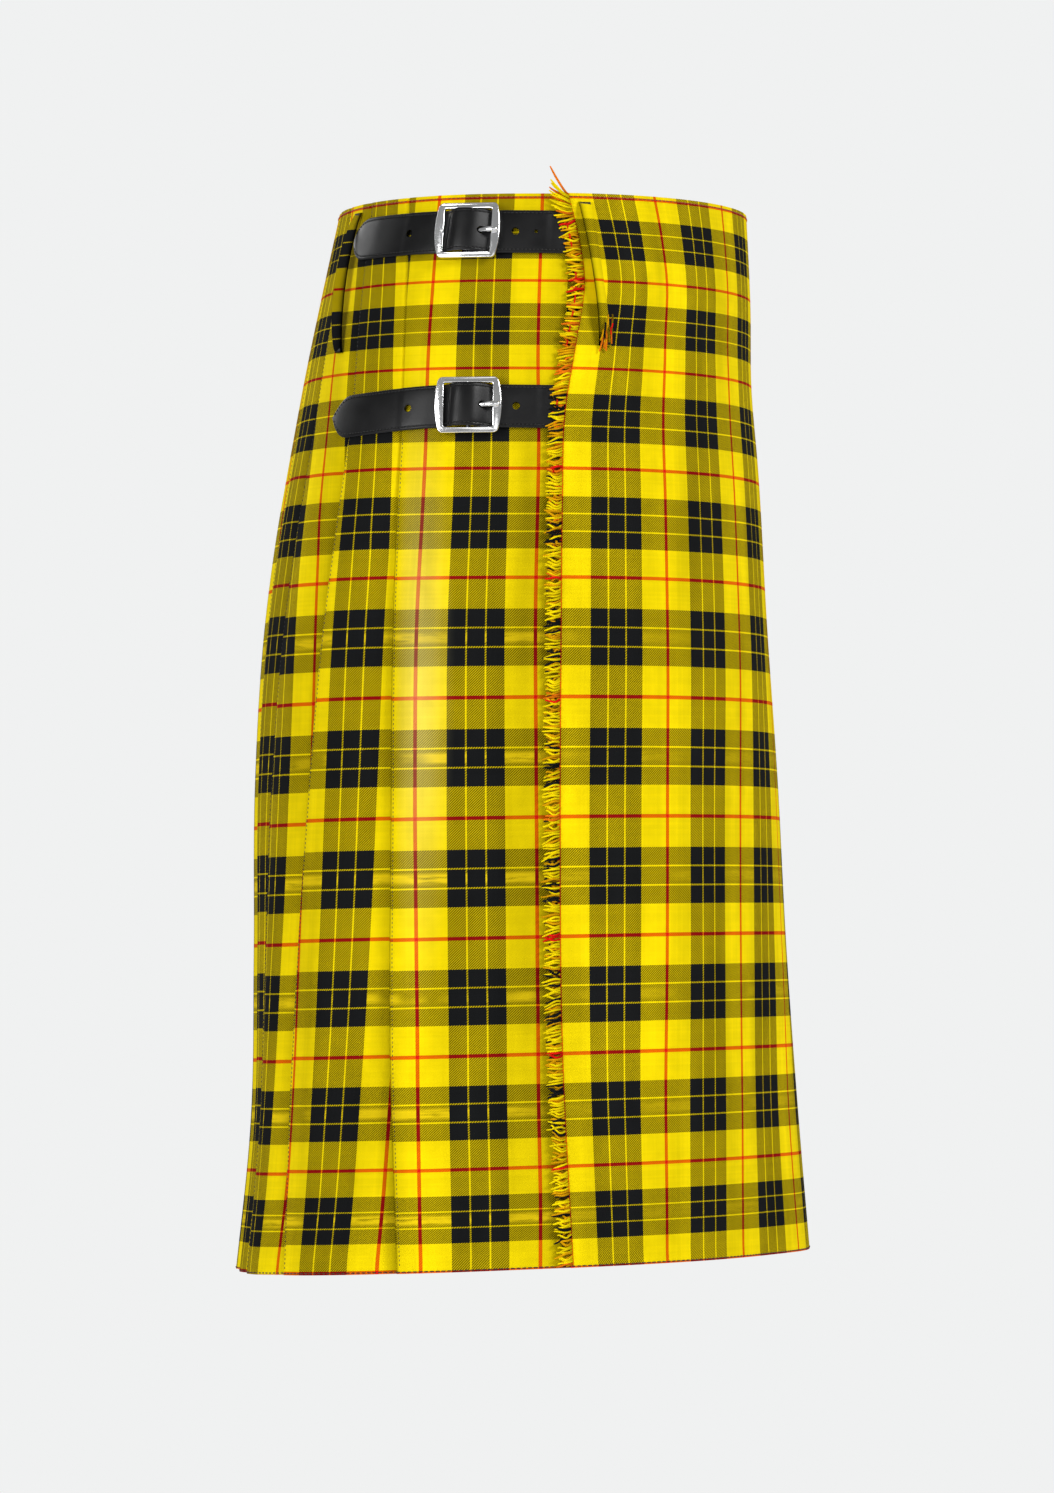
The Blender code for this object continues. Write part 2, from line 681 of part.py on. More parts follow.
def prong(fastening, finish):
    """The bent pin from the centre bar up through the strap to the frame's side bar."""
    frame = fastening.frame()
    path = [frame @ Vector((spot["along"], 0, spot["lift"])) for spot in PRONG_RUN]
    return tube(path, PRONG_RADIUS, "prong_" + fastening.name, finish, 6)


def chape(fastening, finish):
    """The leather tab round the centre bar that holds the buckle, slotted for the prong."""
    frame = fastening.frame()
    inner = CENTRE_BAR_RADIUS + SEAM_GAP
    outer = inner + CHAPE_LEATHER

    def bend(radius, steps):
        """Points round the bar, from below it (0) past its back (3) to its top (6) and beyond."""
        angles = [step * math.pi / 6 for step in steps]
        return [(-radius * math.sin(a), BAR_LIFT - radius * math.cos(a)) for a in angles]

    profile = [
        (CHAPE_TAIL, SEAM_GAP),
        *bend(outer, (0, 1, 2, 3, 4, 5, 6, 7, 8)),
        *bend(inner, (8, 7, 6, 5, 4, 3, 2, 1, 0)),
        (CHAPE_TAIL, SEAM_GAP + CHAPE_LEATHER),
    ]
    count = len(profile)
    points, faces = [], []
    for across in (-CHAPE_WIDTH / 2, CHAPE_WIDTH / 2):
        points += [frame @ Vector((x, across, z)) for x, z in profile]
    for k in range(count):
        n = (k + 1) % count
        faces.append([k, n, n + count, k + count])
    faces.append(list(range(count)))
    faces.append(list(range(count, 2 * count))[::-1])
    piece = add_object("chape_" + fastening.name, points, faces, finish)
    bpy.ops.mesh.primitive_cube_add(size=1.0)
    cutter = bpy.context.active_object
    cutter.name = "slot_" + fastening.name
    size = Matrix.Diagonal((SLOT_LENGTH, PRONG_SLOT, SLOT_LENGTH, 1.0))
    cutter.matrix_world = frame @ Matrix.Translation((-SLOT_BACK, 0, BAR_LIFT)) @ size
    cutter.hide_render = True
    cutter.display_type = "WIRE"
    slot = piece.modifiers.new("prong slot", "BOOLEAN")
    slot.operation = "DIFFERENCE"
    slot.solver = "EXACT"
    slot.object = cutter


def loop(row, left, finish):
    """A belt loop: a narrow strip of cloth that stands a little off between its two ends."""
    heights = np.linspace(LOOP_TOP, LOOP_FOOT, 8)
    points, faces = [], []
    for number, height in enumerate(heights):
        share = number / (len(heights) - 1)
        ring = Ring(height)
        walk = ring.walk_to(row["top"] + (row["foot"] - row["top"]) * share)
        if left:
            walk += row["left_shift"]
        lift = SEAM_GAP + LOOP_BOW * math.sin(math.pi * share) ** 0.7 if 0 < share < 1 else SEAM_GAP
        for side in (-LOOP_WIDTH / 2, LOOP_WIDTH / 2):
            for rise in (0.0, LOOP_THICKNESS):
                spot = ring.at(walk + side, lift + rise)
                if left:
                    spot[0] = -spot[0]
                points.append(spot)
    faces.append([0, 1, 3, 2])
    faces.append([len(points) - k for k in (2, 1, 3, 4)])
    for n in range(len(heights) - 1):
        a = 4 * n
        for i, j in ((0, 1), (1, 3), (3, 2), (2, 0)):
            faces.append([a + i, a + j, a + j + 4, a + i + 4])
    side = "left" if left else "right"
    return add_object(f"{row['name']}_{side}", points, faces, finish)


def fastenings():
    """The two on the wearer's right that hold the outer apron, and the left one for the under apron."""
    upper, lower = Ring(0.0), Ring(LOWER_STRAP)
    buckle_upper, buckle_lower = upper.walk_to(BUCKLE_BACK), lower.walk_to(BUCKLE_BACK)
    left_buckle = upper.length / 2 - buckle_upper
    right_upper = RightFastening("right_upper", 0.0, buckle_upper, UPPER_TIP, UPPER_ROOT, 1)
    right_lower = RightFastening("right_lower", LOWER_STRAP, buckle_lower, LOWER_TIP, LOWER_ROOT, 1)
    right_lower.tip_drop = LOWER_DROP
    right_lower.tip_shape = POINTED_TIP
    left = Fastening("left_upper", 0.0, left_buckle, UPPER_TIP, UPPER_ROOT, -1)
    for piece in (right_upper, right_lower):
        edge = piece.ring.walk_to(curve(EDGES, "fringe", piece.height)) - piece.buckle
        piece.hidden = [(piece.root, BETWEEN_APRONS), (edge + FRINGE_COVER, BETWEEN_APRONS)]
    slit = left_buckle - pleat_edges(upper)[-1] - (SLIT_START + SLIT_END) / 2
    left.hidden = [
        (left.root, BETWEEN_APRONS),
        (slit - SLIT_REACH, BETWEEN_APRONS),
        (slit + SLIT_REACH, SLIT_LIFT),
    ]
    return right_upper, right_lower, left


def main():
    for old in list(bpy.data.objects):
        bpy.data.objects.remove(old, do_unlink=True)
    cloth = material("tartan_wool", CLOTH_YELLOW, 0.85)
    leather = material("black_leather", LEATHER_BLACK, 0.35)
    steel = material("polished_steel", STEEL, 0.15, 1.0)
    wall("outer_apron", outer_apron_path, cloth, gaps=[SLIT_CELL])
    wall("under_apron", under_apron_path, cloth)
    wall("pleated_back", pleat_path, cloth)
    fringe("apron_fringe", cloth)
    for row in LOOPS:
        loop(row, False, cloth)
        loop(row, True, cloth)
    for fastening in fastenings():
        piece = strap(fastening, leather)
        cut_holes(piece, fastening, HOLES[fastening.name])
        buckle(fastening, steel)
        prong(fastening, steel)
        chape(fastening, leather)


main()
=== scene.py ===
import math
import random
from functools import lru_cache

import bmesh
import bpy
import numpy as np
from mathutils import Matrix, Vector


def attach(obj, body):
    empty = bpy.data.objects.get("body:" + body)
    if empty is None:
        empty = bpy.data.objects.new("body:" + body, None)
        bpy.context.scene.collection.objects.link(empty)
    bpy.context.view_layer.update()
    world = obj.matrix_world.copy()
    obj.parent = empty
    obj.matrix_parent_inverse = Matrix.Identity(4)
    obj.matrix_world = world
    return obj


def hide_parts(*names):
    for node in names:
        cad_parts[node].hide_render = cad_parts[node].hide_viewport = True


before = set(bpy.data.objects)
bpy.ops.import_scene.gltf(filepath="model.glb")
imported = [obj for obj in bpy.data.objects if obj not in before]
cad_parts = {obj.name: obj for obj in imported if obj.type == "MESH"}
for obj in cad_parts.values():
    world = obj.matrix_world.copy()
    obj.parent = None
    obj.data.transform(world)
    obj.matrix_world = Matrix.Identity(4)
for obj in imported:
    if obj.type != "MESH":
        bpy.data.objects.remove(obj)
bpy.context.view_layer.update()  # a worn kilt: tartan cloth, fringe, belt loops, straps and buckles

bpy.ops.object.select_all(action="DESELECT")


def table(columns, *rows):
    """Rows of numbers, each column with its name."""
    return np.array(list(rows), dtype=[(name, float) for name in columns.split()])


# ---- the worn shape, in metres: the wearer faces -Y and their right side is at -X ----
# How far each level of the cloth reaches to the front, the back and each side, and how square its
# back half is in plan (2 is an ellipse).
SECTIONS = table(
    "height front back side square",
    (0.0230, 0.1245, 0.1265, 0.154, 2.15),
    (-0.0330, 0.1270, 0.1385, 0.163, 2.25),
    (-0.0825, 0.1275, 0.1485, 0.170, 2.35),
    (-0.1320, 0.1315, 0.1570, 0.176, 2.45),
    (-0.2300, 0.1370, 0.1710, 0.185, 2.55),
    (-0.3280, 0.1435, 0.1770, 0.192, 2.60),
    (-0.4270, 0.1485, 0.1775, 0.197, 2.60),
    (-0.5250, 0.1553, 0.1790, 0.203, 2.65),
    (-0.6300, 0.1640, 0.1895, 0.210, 2.70),
)
FRONT_SQUARE = 2.0

# The main upright edges on the wearer's right, as distances behind the waist's middle.
EDGES = table(
    "height fringe apron_fold first_pleat",
    (0.0230, -0.0125, 0.0815, 0.1045),
    (-0.0050, -0.0190, 0.0820, 0.1075),
    (-0.0270, -0.0222, 0.0825, 0.1100),
    (-0.0690, -0.0168, 0.0838, 0.1135),
    (-0.1070, -0.0106, 0.0850, 0.1160),
    (-0.1660, -0.0087, 0.0880, 0.1240),
    (-0.2400, -0.0079, 0.0905, 0.1335),
    (-0.3500, -0.0073, 0.0915, 0.1430),
    (-0.4820, -0.0085, 0.0920, 0.1510),
    (-0.6300, -0.0160, 0.0870, 0.1565),
)
TOP = 0.0230
HEM = -0.6165
HEM_TILT = 0.0368  # the hem rides up at the front and hangs low at the back, per metre of depth
TILT_START = -0.130  # the rows of cloth are level above this height
ROWS = (TOP, 0.0135, -0.0135, -0.045, -0.085, -0.130, -0.185, -0.250, -0.325, -0.400, -0.475, -0.550, HEM)
ROW_HEIGHT = 0.0088  # the cloth's mesh has a row at least this often

# ---- cloth ----
CLOTH = 0.0011  # the cloth's thickness
SOLID_CLOTH = 0.0012  # the wall of the solids, whose middle this cloth follows
SEAM_GAP = 0.0003
PLEATS = 8
STEP_TOP = 0.00145  # between the layers of a pleat where it is stitched down
STEP_HEM = 0.0032
STEP_FROM = -0.060  # and that gap grows from this height down
FOLD_DEPTH = 0.70  # how deep a pleat is folded under, as a share of its exposed width
UNDER_APRON_LIFT = -0.0050  # the under apron's middle, below the outermost surface
OUTER_LIFT = -SOLID_CLOTH / 2
SEAM_FROM_FOLD = 0.0030  # a panel is joined to the pleats this far out of the hidden fold
RISE_LENGTH = 0.030  # the outer apron climbs from under the last pleat over this length
UNDER_APRON_END = 0.108  # the under apron stops this far in front of the last pleat's edge
SLIT = (0.0944, 0.1036)  # the slit for the left strap, in front of the last pleat
SLIT_HEIGHTS = (-0.0135, 0.0135)
SLIT_COLUMNS = range(16, 20)  # the outer apron's columns that the slit leaves open
SLIT_RISE = 0.0038  # the strap climbs through it over this length on either side of its middle
STITCHED_DOWN = -0.090  # above this height the pleats are sewn flat
OPEN_FROM = -0.200  # and from here down they hang free
FIRST_FOLD_OPEN = (-0.36, 0.15)  # the first fold lies close above this height and opens over so much
PLEAT_DARK = (0.10, 0.65)  # painted shade: how dark a pleat is painted beside the fold over it: sewn and free
FIRST_DARK = (0.05, 0.50)  # and the first pleat: closed and open
EDGE_DARK = (0.52, 0.028)  # painted shadow: how dark the under apron is painted beside the fringe, and how far that reaches
SEAM_DARK = (0.90, 0.004)  # the same painted shadow for the outer apron beside the last pleat
SEWN_FLAT = (22.0, 9.0)  # how steeply a sewn pleat comes up beside the fold over it: first, others
HANGING = 1.15  # and how steeply a free one does
PLEAT_RISE = 0.7  # over which share of its width
APRON_RISE = (2.5, 1.2)  # the same for the outer apron beside the last pleat: sewn and free
PAINTED_SHEEN_PATCH = (0.074, -0.270, 0.012, 0.110)  # a painted sheen: a paler patch standing in for light on the cloth: behind, height, half sizes
WORN_FROM = -0.17  # below this height the cloth is rubbed bright in places
BOW = 0.0013  # how far a free pleat's face bows outwards
# The mesh's columns across a pleat, as shares of its exposed width, and how much painted shade each has.
PLEAT_SHARES = np.array([0.0, 0.03, 0.07, 0.12, 0.19, 0.28, 0.38, 0.48, 0.58, 0.68, 0.78, 0.88])
PLEAT_SHADE = np.array([1.0, 0.9, 0.55, 0.3, 0.14, 0.06, 0.02, 0.0, 0.0, 0.0, 0.0, 0.0])
# And the outer apron's, in metres from the last pleat's edge; then evenly to the slit, across it
# and on to its own edge. The under apron's are counted where it is hidden and where it shows.
RISE_COLUMNS = [0.0, 0.003, 0.007, 0.012, 0.018, 0.024, RISE_LENGTH, 0.038, 0.046, 0.054, 0.062]
AFTER_RISE = 0.070
COLUMNS = {"to_slit": 4, "slit": 5, "outer": 72, "hidden": 44, "shown": 18}

# Soft creases, worn in: the turn round the body (degrees, 0 at the wearer's right, rising
# towards the back), how that drifts down the cloth (degrees a metre), the crease's half width
# (degrees), how far it stands out at the hem (millimetres, in is negative) and where it starts.
CREASES = table(
    "turn drift width out start",
    (14.0, -6.0, 8.0, 1.3, -0.14),
    (31.0, 3.0, 6.0, -1.0, -0.20),
    (52.0, 5.0, 9.0, 1.6, -0.26),
    (76.0, -4.0, 7.0, -1.9, -0.18),
    (101.0, 2.0, 10.0, 2.4, -0.24),
    (128.0, 6.0, 8.0, -2.1, -0.30),
    (149.0, -3.0, 9.0, 1.9, -0.21),
    (172.0, 4.0, 7.0, -1.4, -0.33),
    (196.0, -7.0, 10.0, 2.3, -0.23),
    (221.0, 3.0, 8.0, -2.0, -0.28),
    (243.0, 5.0, 9.0, 2.6, -0.17),
    (266.0, -2.0, 8.0, -1.5, -0.34),
    (287.0, 4.0, 9.0, 2.0, -0.25),
    (309.0, -5.0, 7.0, -1.2, -0.31),
    (327.0, 3.0, 8.0, 1.4, -0.19),
    (346.0, 2.0, 6.0, -0.8, -0.29),
)

# ---- the tartan's places ----
# The sett is counted across (u) and down (v): both have a red line at each whole number and the
# middle of the black at each half. Red rows lie at these heights:
RED_ROWS = np.array(
    [0.0700, 0.0205, -0.0299, -0.0826, -0.1428, -0.2079, -0.2792, -0.3504, -0.4213, -0.4904, -0.5569, -0.6147]
)
# Upright lines at each height: on the outer apron, the spacing of its first three whole setts from
# the fringe; then, walked from the wearer's right side, the under apron's two red lines, the first
# pleat's black middle and the second pleat's red line; last, the sett's usual width.
UPRIGHTS = table(
    "height first second third near_fringe under_apron pleat_black pleat_red width",
    (0.023, 0.0575, 0.0675, 0.066, 0.0005, 0.0655, 0.1150, 0.1560, 0.0670),
    (-0.035, 0.0583, 0.0662, 0.067, -0.0026, 0.0636, 0.1075, 0.1480, 0.0670),
    (-0.100, 0.0668, 0.0714, 0.070, -0.0077, 0.0602, 0.1005, 0.1415, 0.0695),
    (-0.170, 0.0709, 0.0741, 0.072, -0.0104, 0.0591, 0.0982, 0.1385, 0.0715),
    (-0.245, 0.0728, 0.0750, 0.073, -0.0118, 0.0598, 0.1000, 0.1372, 0.0725),
    (-0.340, 0.0717, 0.0713, 0.072, -0.0117, 0.0609, 0.1050, 0.1425, 0.0730),
    (-0.455, 0.0693, 0.0694, 0.069, -0.0095, 0.0625, 0.1150, 0.1585, 0.0730),
    (-0.520, 0.0657, 0.0687, 0.067, -0.0082, 0.0636, 0.1215, 0.1675, 0.0725),
    (-0.585, 0.0624, 0.0654, 0.073, -0.0096, 0.0620, 0.1255, 0.1718, 0.0720),
    (-0.612, 0.0607, 0.0646, 0.076, -0.0099, 0.0609, 0.1275, 0.1740, 0.0720),
)
EDGE_TO_RED = 0.0008  # the outer apron's first red line lies this far in from its edge
FIRST_WIDER = 1.04  # the sett is this much wider on the first pleat
PLEAT_SHARE = 0.41  # the third pleat's black middle, as a share of the pleat's exposed width
PLEAT_SHARE_DRIFT = -0.18  # and how that shifts from pleat to pleat, so the sett runs on
PLEAT_ROW_SHIFTS = (0.012, -0.014, 0.010, -0.008, 0.015, -0.012, 0.006, -0.010)
SETT = 0.0725  # one repeat of the tartan, as woven
THREADS = 54  # drawn yarns in one repeat
DARK_COVERS = 0.24  # how much more a black yarn covers than a yellow one where they cross
RED_COVERS = 0.28  # how much more a red yarn covers than any other
LEAST_SHOWN = 0.14  # the share of the lower yarn that shows through between the ribs
RIB = 0.00110  # between the ribs of the twill, as drawn

# ---- straps and buckles ----
STRAP_WIDTH = 0.0258
LEATHER = 0.0020
STRAP_HOLE_RADIUS = 0.0023
SPEAR = 0.0175
SPEAR_SWELL = 2.4  # how fast a strap widens from its tip
# Where a strap starts and ends along from its buckle, how far its tip hangs down, and how pointed
# the tip is: the upper straps end round and the lower one in a point.
UPPER_RUN = (-0.0850, 0.0948, 0.0, 0.55)
LOWER_RUN = (-0.0750, 0.0978, 0.0042, 0.88)
STRAP_PILLOW = 0.0002  # the leather swells this much along its middle
STRAP_SIDES = 28
SMALL_HOLE = -0.0410  # the upper right strap's small pricked hole
HOLES = {  # along each strap from its buckle; None is the one the prong goes through
    "right_upper": (None, 0.0394, -0.0285, SMALL_HOLE),
    "right_lower": (None, 0.0369, -0.0285),
    "left_upper": (None, 0.0369),
}
SMALL_HOLE_RADIUS = 0.0011
BUCKLE_LENGTH = 0.0404
BUCKLE_HEIGHT = 0.0340
BUCKLE_SIDE_BAR = 0.0055
BUCKLE_END_BAR = 0.0036
BUCKLE_THICKNESS = 0.0024
BUCKLE_BOW = 0.0024
BUCKLE_CORNER = 0.0026
BUCKLE_INNER_CORNER = 0.0010
BUCKLE_ROLL = 0.0006
BUCKLE_DOME = (3.6, 2.0)  # how the polished face rounds off along and across, per metre
BAR_LIFT = 0.0039  # the buckle's middle plane above the cloth
BAR_OVERLAP = 0.0020  # how far the centre bar runs into the frame, both ends together
CENTRE_BAR_RADIUS = 0.0012
PRONG_RADIUS = 0.0016
PRONG_TIP = 0.72  # a prong narrows to this share at its end
PRONG_FLAT = (1.1, 0.9)  # its wire is a little wider than deep
EYE_WIRE = 0.0008  # the radius of the wire in its eye
CHAPE_LEATHER = 0.0010
CHAPE_WIDTH = 0.0180
CHAPE_TAIL = 0.0090
PRONG_SLOT = 0.0040
BUCKLE_BACK = 0.0456  # the right buckles lie this far behind the waist's middle
LOWER_STRAP = -0.1055  # the lower strap's height
BETWEEN_APRONS = -0.0028  # a strap's lift where it runs hidden between the aprons
FRINGE_COVER = 0.0150  # which it does up to this far past the apron's edge
ON_APRON = 0.0015  # the left strap's lift just after it comes out of the slit
# A strap's run over its buckle and a prong's over the bar, from the buckle's middle.
STRAP_RUN = table(
    "along lift",
    (-0.0250, 0.00130),
    (-0.0195, 0.00130),
    (-0.0138, 0.00135),
    (-0.0110, 0.00290),
    (-0.0072, 0.00530),
    (-0.0036, 0.00730),
    (0.0000, 0.00780),
    (0.0036, 0.00780),
    (0.0080, 0.00700),
    (0.0108, 0.00440),
    (0.0138, 0.00135),
    (0.0195, 0.00130),
    (0.0250, 0.00130),
)
PRONG_RUN = table(
    "along lift",
    (-0.0017, 0.0039),
    (-0.0050, 0.0036),
    (-0.0088, 0.0047),
    (-0.0125, 0.0063),
    (-0.0160, 0.0068),
    (-0.0192, 0.0065),
)
STITCH_INSET = 0.0018
STITCH_PITCH = 0.0024
STITCH_LENGTH = 0.0016
STITCH_WIDTH = 0.00042
STITCH_SUNK = 0.00012  # how far a stitch sinks into the leather

# ---- belt loops ----
LOOP_WIDTH = 0.0080
LOOP_THICKNESS = 0.0014
LOOP_BOW = 0.0040  # how far the middle of a loop stands off the cloth
LOOP_TWIST = 0.50  # how far a loop turns on its length halfway down, in radians
LOOP_TOP = 0.0178
LOOP_FOOT = -0.0690
LOOP_LENGTH = LOOP_TOP - LOOP_FOOT
LOOP_EDGE_SHADOW_PAINT = 1.25  # how dark the painted shadow along a loop's standing-off edge is
LOOP_FOOT_DARKER = 0.45  # and how much darker its foot is drawn
FRAY_DYES = ("orange", "gold", "red", "ochre", "orange", "black", "gold", "orange", "ochre") * 2
LOOPS = np.array(
    [
        ("loop_front", -0.0235, -0.0352, 0.86, 0.0, 1.0),
        ("loop_back", 0.1117, 0.1232, 0.66, 0.0155, -1.0),
    ],
    dtype=[
        ("name", "U16"),
        ("top", float),
        ("foot", float),
        ("across_sett", float),
        ("left_shift", float),
        ("soiled_side", float),
    ],
)

# ---- fringe ----
STRANDS = 400
FRINGE_LENGTH = 0.0102
FRINGE_HEM = -0.6150
ROOTED = 0.0010  # the strands start this far inside the edge
DARK_ROW = 0.48  # beside a black row where the half sett is below this
TUFT = 13  # strands in the tuft at the top
TUFT_TOP = TOP - 0.0008
TUFT_HEIGHT = 0.0125
TUFT_LENGTH = 0.0118
TUFT_RISE = 0.0105  # how far its strands stand up, each lower one less
TUFT_TIP = 0.0170  # and the topmost one
ORANGE_IN_TUFT = (0, 3, 6, 11)
YARN_RADIUS = 0.00070
THIN_YARN = 0.0005  # the radius of loose threads and of the red yarn over the fringe
RED_DASHES = (  # where a red yarn that runs up the fringe comes over its strands
    (0.0050, 0.0015),
    (-0.0015, -0.0048),
    (-0.0070, -0.0095),
    (-0.0250, -0.0285),
    (-0.0335, -0.0365),
    (-0.0385, -0.0440),
    (-0.0480, -0.0515),
    (-0.0570, -0.0610),
    (-0.0660, -0.0685),
    (-0.1020, -0.1050),
    (-0.1430, -0.1455),
)


# ---- shape of the worn body ----
def curve(table, name, height):
    """A column of a table at a height, on a smooth curve through its rows."""
    heights = table["height"][::-1]
    values = table[name][::-1]
    slopes = np.gradient(values, heights)
    row = int(np.clip(np.searchsorted(heights, height) - 1, 0, len(heights) - 2))
    gap = heights[row + 1] - heights[row]
    t = min(max((height - heights[row]) / gap, 0.0), 1.0)
    start = (2 * t**3 - 3 * t**2 + 1) * values[row] + (t**3 - 2 * t**2 + t) * gap * slopes[row]
    end = (3 * t**2 - 2 * t**3) * values[row + 1] + (t**3 - t**2) * gap * slopes[row + 1]
    return start + end


def ease(t):
    """Smooth from 0 to 1."""
    t = np.clip(t, 0.0, 1.0)
    return t * t * (3 - 2 * t)


def crease_lift(turns, height):
    """How far the soft creases stand out at these turns round the body."""
    degrees = np.degrees(turns)
    total = np.zeros(len(degrees))
    for crease in CREASES:
        middle = crease["turn"] + crease["drift"] * -height
        away = (degrees - middle + 180) % 360 - 180
        grown = ease((crease["start"] - height) / 0.30)
        total += crease["out"] * 0.001 * grown * np.exp(-((away / crease["width"]) ** 2))
    return total


class Ring:
    """The outermost surface at one height, walked from the wearer's right side round the back."""

    STEPS = 720

    def __init__(self, height):
        self.height = height
        self.tilt = HEM_TILT * max(0.0, TILT_START - height) / (TILT_START - HEM)
        front = curve(SECTIONS, "front", height)
        back = curve(SECTIONS, "back", height)
        side = curve(SECTIONS, "side", height)
        middle = (back - front) / 2
        depth = (back + front) / 2
        self.turns = np.linspace(-2 * math.pi, 2 * math.pi, 2 * self.STEPS + 1)
        across = np.cos(self.turns)
        behind = np.sin(self.turns)
        square = np.where(behind > 0, curve(SECTIONS, "square", height), FRONT_SQUARE)
        reach = ((np.abs(across) / side) ** square + (np.abs(behind) / depth) ** square) ** (-1 / square)
        self.x = -reach * across
        self.y = middle + reach * behind
        out_x = np.sign(self.x) * np.abs(self.x / side) ** (square - 1) / side
        out_y = np.sign(behind) * np.abs((self.y - middle) / depth) ** (square - 1) / depth
        size = np.hypot(out_x, out_y)
        self.out_x = out_x / size
        self.out_y = out_y / size
        walk = np.concatenate([[0.0], np.cumsum(np.hypot(np.diff(self.x), np.diff(self.y)))])
        self.walk = walk - walk[self.STEPS]
        self.length = self.walk[-1]

    def points(self, walks, lifts):
        """Points at distances walked round the ring, moved out by their lifts, with the creases."""
        turns = np.interp(walks, self.walk, self.turns)
        lifts = np.asarray(lifts) + crease_lift(turns, self.height)
        x = np.interp(turns, self.turns, self.x) + lifts * np.interp(turns, self.turns, self.out_x)
        y = np.interp(turns, self.turns, self.y) + lifts * np.interp(turns, self.turns, self.out_y)
        return np.column_stack([x, y, self.height - self.tilt * y])

    def at_turn(self, turn, lift=0.0):
        x = np.interp(turn, self.turns, self.x + lift * self.out_x)
        y = np.interp(turn, self.turns, self.y + lift * self.out_y)
        return np.array([x, y, self.height - self.tilt * y])

    def turn(self, walk):
        return float(np.interp(walk, self.walk, self.turns))

    def walk_to(self, behind):
        """The distance walked, on the wearer's right, to the point that lies this far back."""
        right = np.abs(self.turns) < math.pi / 2
        return float(np.interp(behind, self.y[right], self.walk[right]))

    def edge(self, name):
        return self.walk_to(curve(EDGES, name, self.height))

    def upright(self, name):
        return curve(UPRIGHTS, name, self.height)


@lru_cache(maxsize=None)
def ring_at(height):
    return Ring(height)


def pleat_edges(ring):
    """Where the folded edges lie, from the under apron's fold round to the last pleat's."""
    fold = ring.edge("apron_fold")
    return [fold, *np.linspace(ring.edge("first_pleat"), ring.length / 2 - fold, PLEATS)]


def layer_step(height):
    """How far apart the layers of a pleat lie."""
    return between((STEP_TOP, STEP_HEM), ease((STEP_FROM - height) / (STEP_FROM - HEM)))


def between(pair, share):
    """From the first of two numbers (0) to the second (1)."""
    return pair[0] + (pair[1] - pair[0]) * share


def opened(height):
    """0 where the pleats are sewn flat, 1 where they hang free."""
    return float(ease((STITCHED_DOWN - height) / (STITCHED_DOWN - OPEN_FROM)))


# ---- the tartan on each panel ----
def sett_down(height):
    """The tartan's count down the cloth."""
    return float(np.interp(-height, -RED_ROWS, np.arange(len(RED_ROWS)) - 1.0))


def outer_apron_sett(ring, walks):
    """The tartan's count across the outer apron, from the fringe round to the wearer's left."""
    red = ring.length + ring.edge("fringe") - EDGE_TO_RED
    places = [red + ring.upright("width"), red]
    for name in ("first", "second", "third"):
        places.append(places[-1] - ring.upright(name))
    places.append(places[-1] - 12 * ring.upright("width"))
    counts = [-1, 0, 1, 2, 3, 15]
    return np.interp(walks, places[::-1], counts[::-1])


def under_apron_sett(ring, walks):
    """The tartan's count across the under apron."""
    near, far = ring.upright("near_fringe"), ring.upright("under_apron")
    width = ring.upright("width")
    places = [near - 12 * width, near, far, far + 3 * width]
    return np.interp(walks, places, [12, 0, -1, -4])


def pleat_sett(ring, panel, edges, walks):
    """The tartan's count on one pleat's exposed face. Each fold hides one whole repeat."""
    width = ring.upright("width")
    if panel == 0:
        line = ring.upright("pleat_black")
        width *= FIRST_WIDER
    elif panel == 1:
        line = ring.upright("pleat_red")
    else:
        share = PLEAT_SHARE + PLEAT_SHARE_DRIFT * (panel - 2)
        line = edges[panel] + share * (edges[panel + 1] - edges[panel])
    return -1.5 - 0.5 * panel - panel - (np.asarray(walks) - line) / width


# ---- rows of each panel, as they run round the body ----
class Run:
    """One row of a panel, point by point: distance walked, lift, the tartan's count and how much
    shade is painted on the cloth there, as inside folds; below zero it is painted sheen."""

    def __init__(self, ring):
        self.height = ring.height
        self.walk = []
        self.lift = []
        self.sett = []
        self.shade = []

    def add(self, walks, lifts, setts=None, shades=0.0):
        walks = np.atleast_1d(walks)
        self.walk.extend(walks)
        self.lift.extend(np.broadcast_to(lifts, walks.shape))
        self.sett.extend(np.full(len(walks), np.nan) if setts is None else np.atleast_1d(setts))
        self.shade.extend(np.broadcast_to(shades, walks.shape))

    def finished(self):
        """The run as arrays, with the tartan taken on evenly along stretches that are folded in."""
        walk, lift, sett = (np.array(values, dtype=float) for values in (self.walk, self.lift, self.sett))
        along = np.concatenate([[0.0], np.cumsum(np.hypot(np.diff(walk), np.diff(lift)))])
        known = np.flatnonzero(~np.isnan(sett))
        first, last = known[0], known[-1]
        if first > 0:
            sett[0] = sett[first] + along[first] / SETT
        if last < len(sett) - 1:
            sett[-1] = sett[last] - (along[-1] - along[last]) / SETT
        known = ~np.isnan(sett)
        sett = np.interp(along, along[known], sett[known])
        return walk, lift, sett, self.shade


def half_turn(walk, lift, radius, side, steps=6):
    """Points round a fold that starts at (walk, lift), turns under and bulges to one side."""
    angles = np.linspace(0, math.pi, steps + 1)
    return walk + side * radius * np.sin(angles), lift - radius * (1 - np.cos(angles))


def pleat_face(ring, panel, shares):
    """The lift of a pleat's exposed face at these shares of its width: it comes up from under the
    fold before it, and bows outwards where it hangs free."""
    free = opened(ring.height)
    sewn = SEWN_FLAT[min(panel, 1)]
    low = np.clip(1 - shares / PLEAT_RISE, 0, 1) ** between((sewn, HANGING), free)
    return OUTER_LIFT - 2 * layer_step(ring.height) * low + BOW * free * np.sin(math.pi * shares)


